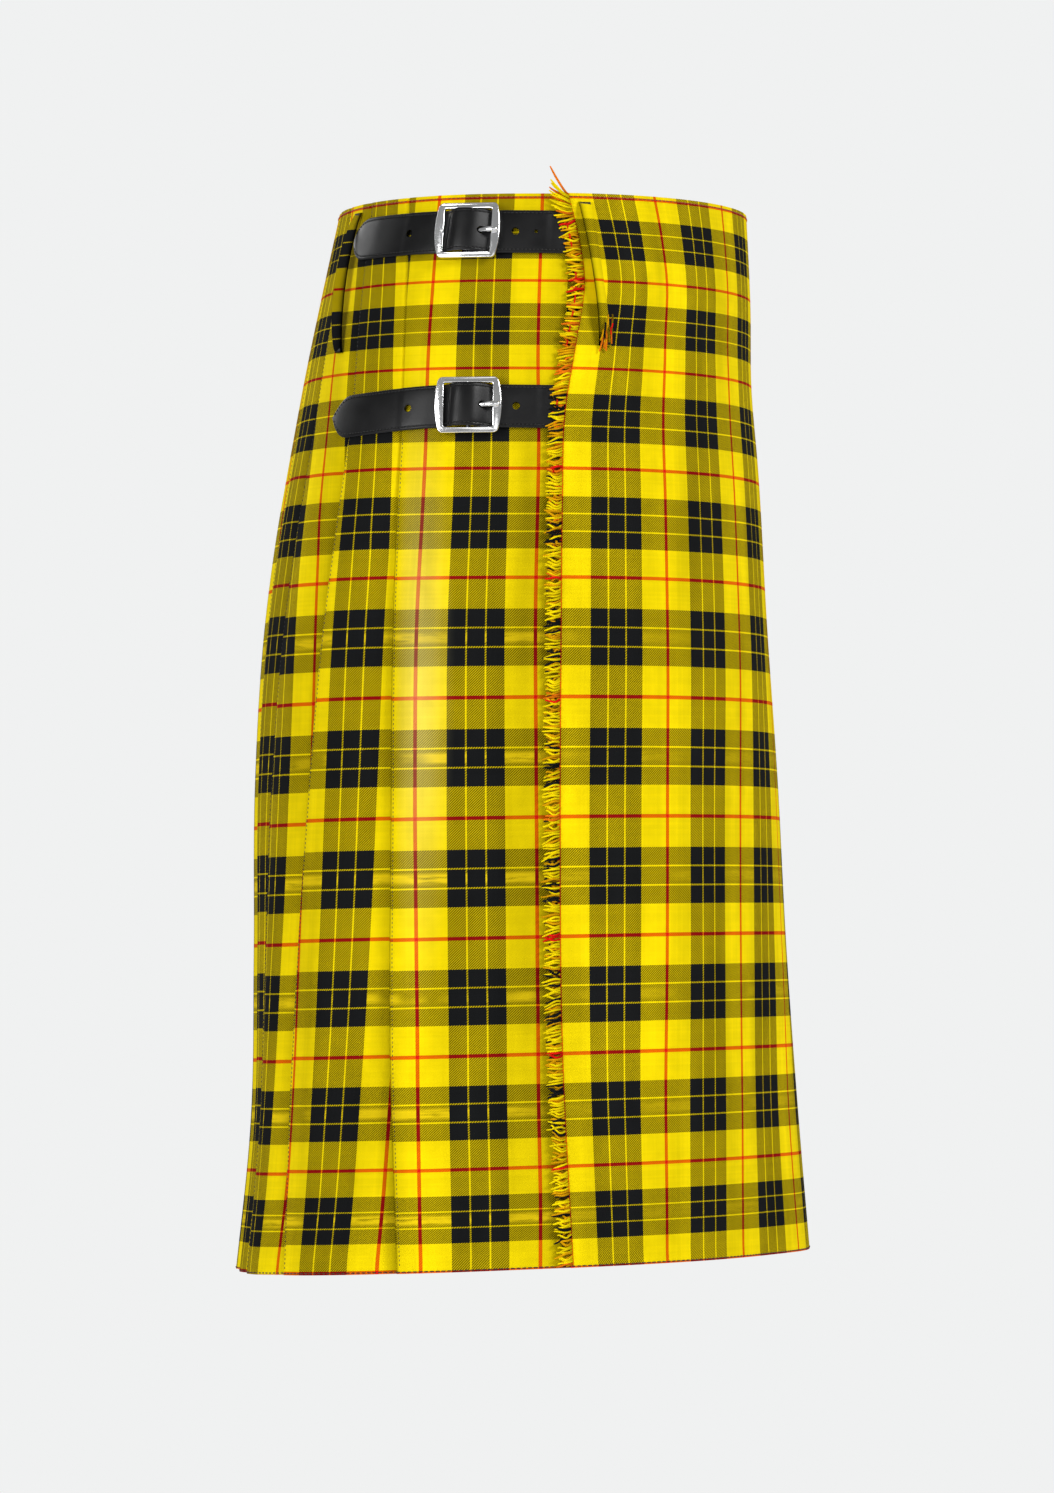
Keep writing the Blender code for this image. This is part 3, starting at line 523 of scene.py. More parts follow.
def apron_face(ring, past):
    """The lift of the outer apron so far past the last pleat's edge, from under which it comes."""
    low = np.clip(1 - past / RISE_LENGTH, 0, 1) ** between(APRON_RISE, opened(ring.height))
    return OUTER_LIFT - 2 * layer_step(ring.height) * low


def fold_under(run, edge, depth, step, slope, sett):
    """A pleat's folded edge and the layer under it, back to the deep inner fold."""
    walks, lifts = half_turn(edge - step / 2, OUTER_LIFT, step / 2, 1)
    # Painted shade: a thin dark line round the folded edge, and shade on the layer under it.
    shade = 0.25 + 0.75 * opened(run.height)
    run.add(walks[:3], lifts[:3], [sett, sett - 0.008, sett - 0.016], np.array([0.1, 0.5, 0.8]) * shade)
    run.add(walks[3:], lifts[3:], None, shade)
    for share in (0.3, 0.65):
        run.add(edge - share * depth, OUTER_LIFT - step - slope * share * depth)


def deep_fold(run, edge, depth, step, slope):
    """The hidden fold, deep under a pleat's edge."""
    run.add(*half_turn(edge - depth, OUTER_LIFT - step - slope * depth, step / 2, -1))


def pleat_run(ring):
    """The pleated back at one height."""
    run = Run(ring)
    edges = pleat_edges(ring)
    step = layer_step(ring.height)
    widths = np.diff(edges)
    depth, slope = FOLD_DEPTH * widths[0], 2 * step / widths[0]
    first_depth = depth - SEAM_FROM_FOLD
    run.add(edges[0] - first_depth, OUTER_LIFT - step - slope * first_depth)
    for panel, (start, edge, width) in enumerate(zip(edges, edges[1:], widths)):
        deep_fold(run, start, depth, step, slope)
        for share in (0.6, 0.25):
            run.add(start - share * depth, OUTER_LIFT - 2 * step - slope * share * depth)
        # Painted shade on each pleat beside the fold over it, deeper where the pleats hang free.
        dark = between(PLEAT_DARK, opened(ring.height))
        if panel == 0:
            dark = between(FIRST_DARK, float(ease((FIRST_FOLD_OPEN[0] - ring.height) / FIRST_FOLD_OPEN[1])))
        walks = start + PLEAT_SHARES * width
        setts = pleat_sett(ring, panel, edges, walks)
        run.add(walks, pleat_face(ring, panel, PLEAT_SHARES), setts, PLEAT_SHADE * dark)
        depth, slope = FOLD_DEPTH * width, 2 * step / width
        fold_under(run, edge, depth, step, slope, float(pleat_sett(ring, panel, edges, edge - step / 2)))
    deep_fold(run, edges[-1], depth, step, slope)
    past = depth - SEAM_FROM_FOLD
    run.add(edges[-1] - past, OUTER_LIFT - 2 * step - slope * past)
    return run.finished()


def under_apron_lift(ring, walks):
    """The under apron's wall lies deep below the outer apron and rises to its own fold."""
    fold, edge = pleat_edges(ring)[0], ring.edge("fringe")
    share = (np.asarray(walks) - edge) / (fold - edge)
    return between((UNDER_APRON_LIFT, OUTER_LIFT), ease(share))


def under_apron_run(ring):
    """The under apron, from its end on the wearer's left round the front to its fold on the right."""
    run = Run(ring)
    edges = pleat_edges(ring)
    step = layer_step(ring.height)
    width = edges[1] - edges[0]
    slope = 2 * step / width
    hidden = np.linspace(edges[-1] + UNDER_APRON_END - ring.length, ring.edge("fringe"), COLUMNS["hidden"])
    shown = np.linspace(ring.edge("fringe"), edges[0] - step / 2, COLUMNS["shown"])[1:-1]
    walks = np.concatenate([hidden, shown])
    # Painted shadow on the under apron beside the fringe.
    shades = EDGE_DARK[0] * np.exp(-np.abs(walks - ring.edge("fringe")) / EDGE_DARK[1])
    # A painted sheen patch, carried as shade below zero.
    beside = (walks - ring.walk_to(PAINTED_SHEEN_PATCH[0])) / PAINTED_SHEEN_PATCH[2]
    above = (ring.height - PAINTED_SHEEN_PATCH[1]) / PAINTED_SHEEN_PATCH[3]
    shades = shades - np.exp(-(beside**2) - above**2)
    run.add(walks, under_apron_lift(ring, walks), under_apron_sett(ring, walks), shades)
    depth = FOLD_DEPTH * width
    fold_under(run, edges[0], depth, step, slope, float(under_apron_sett(ring, edges[0] - step / 2)))
    past = depth - SEAM_FROM_FOLD - SEAM_GAP
    run.add(edges[0] - past, OUTER_LIFT - step - slope * past)
    return run.finished()


def outer_apron_run(ring):
    """The outer apron, from its seam under the last pleat round the front to the fringed edge."""
    run = Run(ring)
    edges = pleat_edges(ring)
    step = layer_step(ring.height)
    width = edges[-1] - edges[-2]
    depth, slope = FOLD_DEPTH * width, 2 * step / width
    end = ring.length + ring.edge("fringe")
    past = depth - SEAM_FROM_FOLD - SEAM_GAP
    hidden = np.array([past, past / 2])
    run.add(edges[-1] - hidden, OUTER_LIFT - 2 * step - slope * hidden)
    to_slit = np.linspace(AFTER_RISE, SLIT[0], COLUMNS["to_slit"])
    near = np.concatenate([RISE_COLUMNS, to_slit, np.linspace(*SLIT, COLUMNS["slit"])[1:]])
    walks = edges[-1] + near
    # Painted shade on the outer apron where it comes out from under the last pleat.
    shades = SEAM_DARK[0] * np.exp(-near / SEAM_DARK[1])
    run.add(walks, apron_face(ring, near), outer_apron_sett(ring, walks), shades)
    walks = np.linspace(walks[-1], end, COLUMNS["outer"])[1:]
    run.add(walks, OUTER_LIFT, outer_apron_sett(ring, walks))
    return run.finished()


# ---- meshes ----
def add_mesh(name, points, faces, finish, places=None):
    """A mesh object; places gives each point its two numbers in the mesh's own map."""
    mesh = bpy.data.meshes.new(name)
    mesh.from_pydata([tuple(p) for p in points], [], [tuple(f) for f in faces])
    if places is not None:
        layer = mesh.uv_layers.new(name="sett")
        corners = np.zeros(len(mesh.loops), dtype=np.int64)
        mesh.loops.foreach_get("vertex_index", corners)
        layer.data.foreach_set("uv", np.asarray(places, dtype=np.float32)[corners].ravel())
    mesh.materials.append(finish)
    piece = bpy.data.objects.new(name, mesh)
    bpy.context.collection.objects.link(piece)
    return piece


def face_outwards(piece):
    """Turns a closed piece's faces outwards."""
    work = bmesh.new()
    work.from_mesh(piece.data)
    bmesh.ops.recalc_face_normals(work, faces=work.faces)
    if work.calc_volume(signed=True) < 0:
        bmesh.ops.reverse_faces(work, faces=work.faces)
    work.to_mesh(piece.data)
    work.free()


def select_only(piece):
    """Selects one piece and makes it the active one."""
    bpy.ops.object.select_all(action="DESELECT")
    bpy.context.view_layer.objects.active = piece
    piece.select_set(True)


def apply_modifiers(piece):
    """Makes what a piece's modifiers do its own mesh."""
    select_only(piece)
    for modifier in list(piece.modifiers):
        bpy.ops.object.modifier_apply(modifier=modifier.name)
    piece.select_set(False)


def smooth(piece, degrees=40):
    select_only(piece)
    bpy.ops.object.shade_smooth_by_angle(angle=math.radians(degrees))
    piece.select_set(False)


def joined(name, pieces):
    """One object of several, under this name."""
    select_only(pieces[0])
    for piece in pieces[1:]:
        piece.select_set(True)
    bpy.ops.object.join()
    pieces[0].name = name
    pieces[0].data.name = name
    pieces[0].select_set(False)
    return pieces[0]


def point_values(piece, name, values):
    """Gives each point of a piece a number of its own, for its material to read."""
    layer = piece.data.attributes.new(name, "FLOAT", "POINT")
    layer.data.foreach_set("value", np.array(values, dtype=np.float32))


def stand_for(piece, node):
    """Fastens a piece to the body in place of this node, and hides the node."""
    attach(piece, "root")
    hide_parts(node)
    return piece


def punch_out(piece, punch):
    """Cuts a punch out of a piece and takes the punch away."""
    cut = piece.modifiers.new("cut", "BOOLEAN")
    cut.operation = "DIFFERENCE"
    cut.solver = "EXACT"
    cut.object = punch
    apply_modifiers(piece)
    bpy.data.objects.remove(punch, do_unlink=True)


def evened(values):
    """A run of numbers, each averaged with two on either side."""
    return np.convolve(np.pad(values, 2, mode="edge"), np.ones(5) / 5, mode="valid")


def row_heights():
    """The cloth mesh's rows: every level of the solids and evenly more between."""
    heights = [TOP]
    for high, low in zip(ROWS, ROWS[1:]):
        count = math.ceil((high - low) / ROW_HEIGHT)
        heights.extend(np.linspace(high, low, count + 1)[1:])
    return [float(height) for height in heights]


def cloth(node, run_at, rubbed, left_open=None, row_shift=None):
    """A panel of woven cloth: a thin wall through its rows, with the tartan's counts as its map."""
    points, places, shades, wear = [], [], [], []
    heights = row_heights()
    for height in heights:
        ring = ring_at(height)
        walk, lift, sett, shade = run_at(ring)
        shades.extend(shade)
        wear.extend(np.full(len(shade), rubbed * float(ease((WORN_FROM - height) / 0.1))))
        points.append(ring.points(walk, lift))
        down = np.full(len(sett), sett_down(height))
        if row_shift is not None:
            down = down + row_shift(ring, walk)
        places.append(np.column_stack([sett, -down]))
    columns = len(points[0])
    faces = []
    for row in range(len(heights) - 1):
        for column in range(columns - 1):
            if left_open and left_open(heights[row], heights[row + 1], column):
                continue
            corner = row * columns + column
            faces.append((corner, corner + columns, corner + columns + 1, corner + 1))
    piece = add_mesh(node + "_cloth", np.vstack(points), faces, WOOL, np.vstack(places))
    point_values(piece, "painted_shade_and_sheen", shades)
    point_values(piece, "rubbed", wear)
    wall = piece.modifiers.new("wall", "SOLIDIFY")
    wall.thickness = CLOTH
    wall.offset = 0.0
    wall.use_even_offset = True
    apply_modifiers(piece)
    face_outwards(piece)
    smooth(piece, 60)
    return stand_for(piece, node)


def over_slit(high, low, column):
    """Whether a face of the outer apron lies where the slit is cut."""
    return column in SLIT_COLUMNS and high <= SLIT_HEIGHTS[1] + 1e-6 and low >= SLIT_HEIGHTS[0] - 1e-6


def pleat_row_shift(ring, walks):
    """Each pleat hangs a little higher or lower than the next."""
    edges = pleat_edges(ring)
    panel = np.clip(np.searchsorted(edges, walks) - 1, 0, PLEATS - 1)
    return np.array(PLEAT_ROW_SHIFTS)[panel] * opened(ring.height)


def tube_faces(start, rings, sides):
    """The faces of a filled tube whose points come ring after ring from this number on."""
    faces = []
    for row in range(start, start + (rings - 1) * sides, sides):
        for k in range(sides):
            beside = (k + 1) % sides
            faces.append((row + k, row + beside, row + beside + sides, row + k + sides))
    faces.append(tuple(range(start, start + sides))[::-1])
    faces.append(tuple(range(start + (rings - 1) * sides, start + rings * sides)))
    return faces


def loft(name, sections, finish, places=None):
    """A solid through closed sections of equal count, with its ends filled."""
    faces = tube_faces(0, len(sections), len(sections[0]))
    piece = add_mesh(name, np.vstack(sections), faces, finish, places)
    face_outwards(piece)
    return piece


# ---- materials ----
def linear(colour):
    """An sRGB hex colour as linear RGBA."""
    parts = [int(colour[k : k + 2], 16) / 255 for k in (1, 3, 5)]
    return (*(p / 12.92 if p <= 0.04045 else ((p + 0.055) / 1.055) ** 2.4 for p in parts), 1.0)


def set_inputs(tree, node, links):
    """Sets a node's inputs: to other nodes, to sockets of theirs or to plain values."""
    for place, value in links.items():
        source = value.outputs[0] if isinstance(value, bpy.types.Node) else value
        if isinstance(source, bpy.types.NodeSocket):
            tree.links.new(source, node.inputs[place])
        else:
            node.inputs[place].default_value = value


def add_node(tree, kind, links=None, **settings):
    """A shader node of this kind with its settings and its inputs."""
    node = tree.nodes.new("ShaderNode" + kind)
    for name, value in settings.items():
        setattr(node, name, value)
    set_inputs(tree, node, links or {})
    return node


def new_material(name, values):
    """A material with these shader inputs, its node tree and its shader."""
    material = bpy.data.materials.new(name)
    material.use_nodes = True
    tree = material.node_tree
    shader = tree.nodes["Principled BSDF"]
    set_inputs(tree, shader, values)
    return material, tree, shader


# The sett's half repeat in threads, from the black's middle to the red line's middle.
STRIPES = ((4.1, "black"), (0.75, "yellow"), (8.3, "black"), (13.65, "yellow"), (0.9, "red"))
YARN = {
    "black": "#191A1B",
    "yellow": "#F4D906",
    "red": "#E01A14",
    "orange": "#E87810",
    "gold": "#DBA006",
    "ochre": "#8A6E08",
}


# Where the cloth is uneven: the noise's spread across and down, its scale, and the range it has
# (from, to) turned into another. Long soft bands of painted light and shade down the cloth, standing
# in for the drape's shading; smaller clouds of tone; and the streaks and patches where the floats are
# worn bright.
UNEVEN = {
    "painted_drape_shading": ((1.0, 0.13, 1.0), 2.6, 0.30, 0.70, 0.80, 1.10),
    "clouds": ((1.0, 1.0, 1.0), 5.0, 0.30, 0.70, 0.94, 1.04),
    "streaks": ((1.0, 7.0, 1.0), 4.0, 0.26, 0.50, 0.0, 1.0),
    "patches": ((1.0, 0.8, 1.0), 1.3, 0.38, 0.50, 0.0, 1.0),
}
MOST_WORN = 0.95  # how fully the worn floats take the bright yellow


def yarn_colours(tree, count):
    """The colour of the yarn at a place in the sett, counted in whole setts; whether it is the red
    one; and how far it lies from the black's middle, up to 1 at the red."""
    part = add_node(tree, "Math", {0: count}, operation="FRACT")
    away = add_node(tree, "Math", {0: part, 1: 0.5}, operation="SUBTRACT")
    size = add_node(tree, "Math", {0: away}, operation="ABSOLUTE")
    half = add_node(tree, "Math", {0: size, 1: 2.0}, operation="MULTIPLY")
    ramp = add_node(tree, "ValToRGB", {0: half})
    ramp.color_ramp.interpolation = "CONSTANT"
    total = sum(threads for threads, _ in STRIPES)
    place = 0.0
    stops = ramp.color_ramp.elements
    for number, (threads, colour) in enumerate(STRIPES):
        stop = stops[number] if number < 2 else stops.new(place / total)
        stop.position = place / total
        stop.color = linear(YARN[colour])
        place += threads
    red = add_node(tree, "Math", {0: half, 1: stops[-1].position}, operation="GREATER_THAN")
    return ramp, red, half


def tartan_wool():
    """Worsted wool, 2/2 twill: matt, and fine diagonal ribs where two yarn colours cross. Real ribs lie
    0.9 mm apart; they are drawn 1.1 mm apart so that they show. The red lines cover more than the
    yarns they cross, and each yarn has its own tone."""
    look = {"Roughness": 0.82, "Specular IOR Level": 0.02}
    material, tree, shader = new_material("tartan_worsted_wool", look)
    sett = add_node(tree, "UVMap", uv_map="sett")
    parts = add_node(tree, "SeparateXYZ", {0: sett})
    across, down = parts.outputs[0], parts.outputs[1]
    unevenness = []
    for spread, scale, *limits in UNEVEN.values():
        place = add_node(tree, "VectorMath", {0: sett, 1: spread}, operation="MULTIPLY")
        cloud = add_node(tree, "TexNoise", {"Vector": place, "Scale": scale, "Detail": 2.5})
        unevenness.append(add_node(tree, "MapRange", dict(enumerate([cloud, *limits]))))
    painted_drape_shading, clouds, streaks, patches = unevenness

    # Which yarn lies on top: the ribs take turns, and red and dark yarns cover more.
    warp, warp_red, _ = yarn_colours(tree, across)
    weft, weft_red, from_black = yarn_colours(tree, down)
    diagonal = add_node(tree, "Math", {0: across, 1: down}, operation="SUBTRACT")
    per_sett = 2 * SETT / (RIB * math.sqrt(2))
    ribs = add_node(tree, "Math", {0: diagonal, 1: per_sett}, operation="MULTIPLY")
    rib = add_node(tree, "Math", {0: ribs, 1: 1.0}, operation="PINGPONG")
    less = add_node(tree, "Math", {0: warp_red, 1: -RED_COVERS, 2: rib}, operation="MULTIPLY_ADD")
    more = add_node(tree, "Math", {0: weft_red, 1: RED_COVERS, 2: less}, operation="MULTIPLY_ADD")
    gap = add_node(tree, "VectorMath", {0: warp, 1: weft}, operation="SUBTRACT")
    difference = add_node(tree, "SeparateXYZ", {0: gap}).outputs[1]
    level = add_node(tree, "Math", {0: difference, 1: DARK_COVERS, 2: more}, operation="MULTIPLY_ADD")
    shares = {0: level, 1: 0.25, 2: 0.75, 3: LEAST_SHOWN, 4: 1 - LEAST_SHOWN}
    over = add_node(tree, "MapRange", shares, interpolation_type="SMOOTHSTEP")
    woven = add_node(tree, "Mix", {0: over, 6: warp, 7: weft}, data_type="RGBA").outputs[2]
    tones = []
    for place, seed in ((across, 3.0), (down, 71.0)):
        yarn = add_node(tree, "Math", {0: place, 1: THREADS, 2: seed}, operation="MULTIPLY_ADD")
        each = add_node(tree, "Math", {0: yarn}, operation="FLOOR")
        tones.append(add_node(tree, "TexWhiteNoise", {"W": each}, noise_dimensions="1D"))
    tone = add_node(tree, "Mix", {0: over, 2: tones[0], 3: tones[1]}, data_type="FLOAT")
    yarn_tone = add_node(tree, "Math", {0: tone, 1: 0.10, 2: 0.95}, operation="MULTIPLY_ADD")

    # Where yellow and black cross, the yellow shines through and the mixture is a warm olive.
    apart = add_node(tree, "Math", {0: difference}, operation="ABSOLUTE")
    blue = add_node(tree, "Math", {0: apart, 1: -1.1, 2: 1.0}, operation="MULTIPLY_ADD")
    green = add_node(tree, "Math", {0: apart, 1: -0.05, 2: 1.0}, operation="MULTIPLY_ADD")
    warmth = add_node(tree, "CombineXYZ", {0: 1.0, 1: green, 2: blue})
    olive = add_node(tree, "VectorMath", {0: woven, 1: warmth}, operation="MULTIPLY")
    # Red over black is a deep red.
    lone_red = add_node(tree, "Math", {0: warp_red, 1: weft_red}, operation="SUBTRACT")
    one_red = add_node(tree, "Math", {0: lone_red}, operation="ABSOLUTE")
    over_dark = add_node(tree, "MapRange", {0: apart, 1: 0.0, 2: 0.3, 3: -0.48, 4: 0.0})
    deep = add_node(tree, "Math", {0: over_dark, 1: one_red, 2: 1.0}, operation="MULTIPLY_ADD")

    # Worn floats: brighter yellow streaks between the two thin rows, in the yellow columns.
    parted = add_node(tree, "SeparateXYZ", {0: warp})
    on_yellow = add_node(tree, "Math", {0: parted.outputs[1], 1: 0.3}, operation="GREATER_THAN")
    in_row = add_node(tree, "MapRange", {0: from_black, 1: 0.115, 2: 0.05, 3: 0.0, 4: 1.0})
    rub = add_node(tree, "Attribute", attribute_name="rubbed").outputs["Fac"]
    worn = patches
    for share in (streaks, in_row, on_yellow, rub, MOST_WORN):
        worn = add_node(tree, "Math", {0: worn, 1: share}, operation="MULTIPLY")
    floats = {0: worn, 6: olive, 7: linear("#EDCD12")}
    rubbed = add_node(tree, "Mix", floats, data_type="RGBA").outputs[2]
    # Painted shade where the cloth lies folded in, beside edges and along the loops' edges, and a pale
    # painted sheen where that number is below zero.
    shade = add_node(tree, "Attribute", attribute_name="painted_shade_and_sheen").outputs["Fac"]
    painted_dark = add_node(tree, "Math", {0: shade, 1: 0.0}, operation="MAXIMUM")
    lit = add_node(tree, "Math", {0: painted_dark, 1: -0.78, 2: 1.0}, operation="MULTIPLY_ADD")
    painted_sheen = add_node(tree, "MapRange", {0: shade, 1: 0.0, 2: -1.0, 3: 0.0, 4: 0.20})
    sheen_paint = {0: painted_sheen, 6: rubbed, 7: linear("#E6DFA8")}
    with_painted_sheen = add_node(tree, "Mix", sheen_paint, data_type="RGBA").outputs[2]
    # The colour's value: the painted drape light and shade, the painted shade, and the cloth's own tones.
    value = painted_drape_shading
    for share in (clouds, lit, yarn_tone, deep):
        value = add_node(tree, "Math", {0: value, 1: share}, operation="MULTIPLY")
    toned = add_node(tree, "VectorMath", {0: with_painted_sheen, 3: value}, operation="SCALE")

    fuzz = add_node(tree, "TexNoise", {"Vector": sett, "Scale": 170.0, "Detail": 2.0})
    relief = add_node(tree, "Math", {0: fuzz, 1: 0.5, 2: rib}, operation="MULTIPLY_ADD")
    bump = add_node(tree, "Bump", {"Strength": 0.35, "Distance": 0.0002, "Height": relief})
    set_inputs(tree, shader, {"Base Color": toned, "Normal": bump})
    return material


def loose_yarn():
    """Frayed wool yarn: soft and matt, uneven in tone, darker where it goes into the edge, with its
    twist as fine slanting stripes. Each strand carries its own number, its place along itself and
    which dye it has."""
    look = {"Roughness": 0.88, "Specular IOR Level": 0.03}
    material, tree, shader = new_material("frayed_wool_yarn", look)
    dye = add_node(tree, "Attribute", attribute_name="dye").outputs["Color"]
    parts = add_node(tree, "SeparateXYZ", {0: add_node(tree, "UVMap", uv_map="sett")})
    number, along = parts.outputs[0], parts.outputs[1]
    strand = add_node(tree, "Math", {0: number}, operation="FLOOR")
    uneven = add_node(tree, "TexWhiteNoise", {"W": strand}, noise_dimensions="1D")
    twist = add_node(tree, "Math", {0: along, 1: 9.0, 2: number}, operation="MULTIPLY_ADD")
    twisted = add_node(tree, "Math", {0: twist, 1: 0.5}, operation="PINGPONG")
    root = add_node(tree, "MapRange", {0: along, 1: 0.0, 2: 0.45, 3: 0.32, 4: 0.72})
    tone = add_node(tree, "Math", {0: uneven, 1: 0.25, 2: root}, operation="MULTIPLY_ADD")
    value = add_node(tree, "Math", {0: twisted, 1: 0.3, 2: tone}, operation="MULTIPLY_ADD")
    toned = add_node(tree, "VectorMath", {0: dye, 3: value}, operation="SCALE")
    set_inputs(tree, shader, {"Base Color": toned})
    return material


def bridle_leather():
    """Dyed and waxed bridle leather, rolled smooth: near black, semi-gloss, with a fine grain, a line
    pressed in for the stitches and paler rubbed edges."""
    look = {"Roughness": 0.32, "Specular IOR Level": 0.30}
    material, tree, shader = new_material("black_bridle_leather", look)
    spot = add_node(tree, "TexCoord").outputs["Object"]
    parts = add_node(tree, "SeparateXYZ", {0: add_node(tree, "UVMap", uv_map="sett")})
    grain = add_node(tree, "TexNoise", {"Vector": spot, "Scale": 1400.0, "Detail": 3.0})
    worn = add_node(tree, "TexNoise", {"Vector": spot, "Scale": 55.0, "Detail": 4.0})
    edge = add_node(tree, "Math", {0: parts}, operation="ABSOLUTE")
    rubbed = add_node(tree, "MapRange", {0: edge, 1: 0.93, 2: 1.0})
    tone = add_node(tree, "Math", {0: worn, 1: 0.22, 2: rubbed}, operation="MULTIPLY_ADD")
    black = {0: tone, 6: linear("#060607"), 7: linear("#1C1C1E")}
    colour = add_node(tree, "Mix", black, data_type="RGBA").outputs[2]
    seam = 1 - 2 * STITCH_INSET / STRAP_WIDTH
    line = add_node(tree, "Math", {0: edge, 1: seam}, operation="SUBTRACT")
    near = add_node(tree, "Math", {0: line}, operation="ABSOLUTE")
    pressed = add_node(tree, "MapRange", {0: near, 1: 0.0, 2: 0.045})
    relief = add_node(tree, "Math", {0: grain, 1: 0.25, 2: pressed}, operation="MULTIPLY_ADD")
    bump = add_node(tree, "Bump", {"Strength": 0.5, "Distance": 0.0003, "Height": relief})
    rough = add_node(tree, "MapRange", {0: worn, 1: 0.3, 2: 0.7, 3: 0.28, 4: 0.46})
    set_inputs(tree, shader, {"Base Color": colour, "Roughness": rough, "Normal": bump})
    return material


def plated_buckle():
    """Die-cast buckle, nickel plated and polished: mirror bright with faint rubbing marks, its face
    cast slightly domed, so it catches the light more on one side."""
    look = {"Metallic": 1.0, "Base Color": linear("#F7F7F8")}
    material, tree, shader = new_material("polished_nickel_plate", look)
    spot = add_node(tree, "TexCoord").outputs["Object"]
    rubbed = add_node(tree, "TexNoise", {"Vector": spot, "Scale": 420.0, "Detail": 4.0})
    rough = add_node(tree, "MapRange", {0: rubbed, 1: 0.35, 2: 0.75, 3: 0.11, 4: 0.19})
    bump = add_node(tree, "Bump", {"Strength": 0.03, "Distance": 0.0001, "Height": rubbed})
    dome = add_node(tree, "Attribute", attribute_name="dome").outputs["Fac"]
    face = {"Strength": 1.0, "Distance": 1.0, "Height": dome, "Normal": bump}
    set_inputs(tree, shader, {"Roughness": rough, "Normal": add_node(tree, "Bump", face)})
    return material


def sewing_thread(name, colour):
    """Polyester core-spun sewing thread, slightly shiny, with its twist as a fine diagonal."""
    material, tree, shader = new_material(name, {"Roughness": 0.55})
    spot = add_node(tree, "TexCoord").outputs["Object"]
    twist = add_node(tree, "TexNoise", {"Vector": spot, "Scale": 2500.0})
    shade = add_node(tree, "Math", {0: twist, 1: 0.5, 2: 0.7}, operation="MULTIPLY_ADD")
    toned = add_node(tree, "VectorMath", {0: linear(colour)[:3], 3: shade}, operation="SCALE")
    set_inputs(tree, shader, {"Base Color": toned})
    return material


WOOL = tartan_wool()
FRAYED = loose_yarn()
LEATHER_BLACK = bridle_leather()
NICKEL = plated_buckle()
THREAD_BLACK = sewing_thread("black_sewing_thread", "#0C0C0E")
THREAD_BRONZE = sewing_thread("bronze_sewing_thread", "#9A3E10")
THREAD_BROWN = sewing_thread("brown_sewing_thread", "#4A180C")


# ---- stitches ----
def stitches(name, spots, finish, length=STITCH_LENGTH, width=STITCH_WIDTH):
    """Short raised stitches. Each spot is its middle, the direction it runs and the way out."""
    points, faces = [], []
    rings = ((-0.5, 0.35), (-0.38, 0.85), (0.0, 1.0), (0.38, 0.85), (0.5, 0.35))
    sides = 6
    for middle, along, out in spots:
        along, out = np.array(along), np.array(out)
        along = along / np.linalg.norm(along)
        out = out - along * np.dot(out, along)
        out = out / np.linalg.norm(out)
        beside = np.cross(along, out)
        start = len(points)
        for place, size in rings:
            for k in range(sides):
                angle = 2 * math.pi * k / sides
                across = beside * math.cos(angle) + out * math.sin(angle)
                points.append(np.array(middle) + along * place * length + across * width * size)
        faces.extend(tube_faces(start, len(rings), sides))
    piece = add_mesh(name, points, faces, finish)
    face_outwards(piece)
    smooth(piece, 60)
    return piece


class Yarns:
    """Loose yarn ends gathered into one mesh."""

    SIDES = 6

    def __init__(self):
        self.points = []
        self.faces = []
        self.places = []
        self.dyes = []

    def add(self, middles, radii, dye):
        """One yarn through its middle points."""
        start, sides = len(self.points), self.SIDES
        number = start // sides
        middles = np.asarray(middles)
        for n, (middle, radius) in enumerate(zip(middles, radii)):
            ahead = middles[min(n + 1, len(middles) - 1)] - middles[max(n - 1, 0)]
            ahead = ahead / np.linalg.norm(ahead)
            out = np.cross(ahead, (0.0, 0.0, 1.0))
            out = out / max(np.linalg.norm(out), 1e-9)
            up = np.cross(out, ahead)
            for k in range(sides):
                angle = 2 * math.pi * k / sides
                self.points.append(middle + radius * (math.cos(angle) * up + math.sin(angle) * out))
                self.places.append((number + k / sides, n / (len(middles) - 1)))
                self.dyes.append(linear(YARN[dye]))
        self.faces.extend(tube_faces(start, len(middles), sides))

    def finished(self, name):
        piece = add_mesh(name, self.points, self.faces, FRAYED, self.places)
        colours = piece.data.color_attributes.new(name="dye", type="FLOAT_COLOR", domain="POINT")
        colours.data.foreach_set("color", np.array(self.dyes, dtype=np.float32).ravel())
        face_outwards(piece)
        smooth(piece, 80)
        return piece


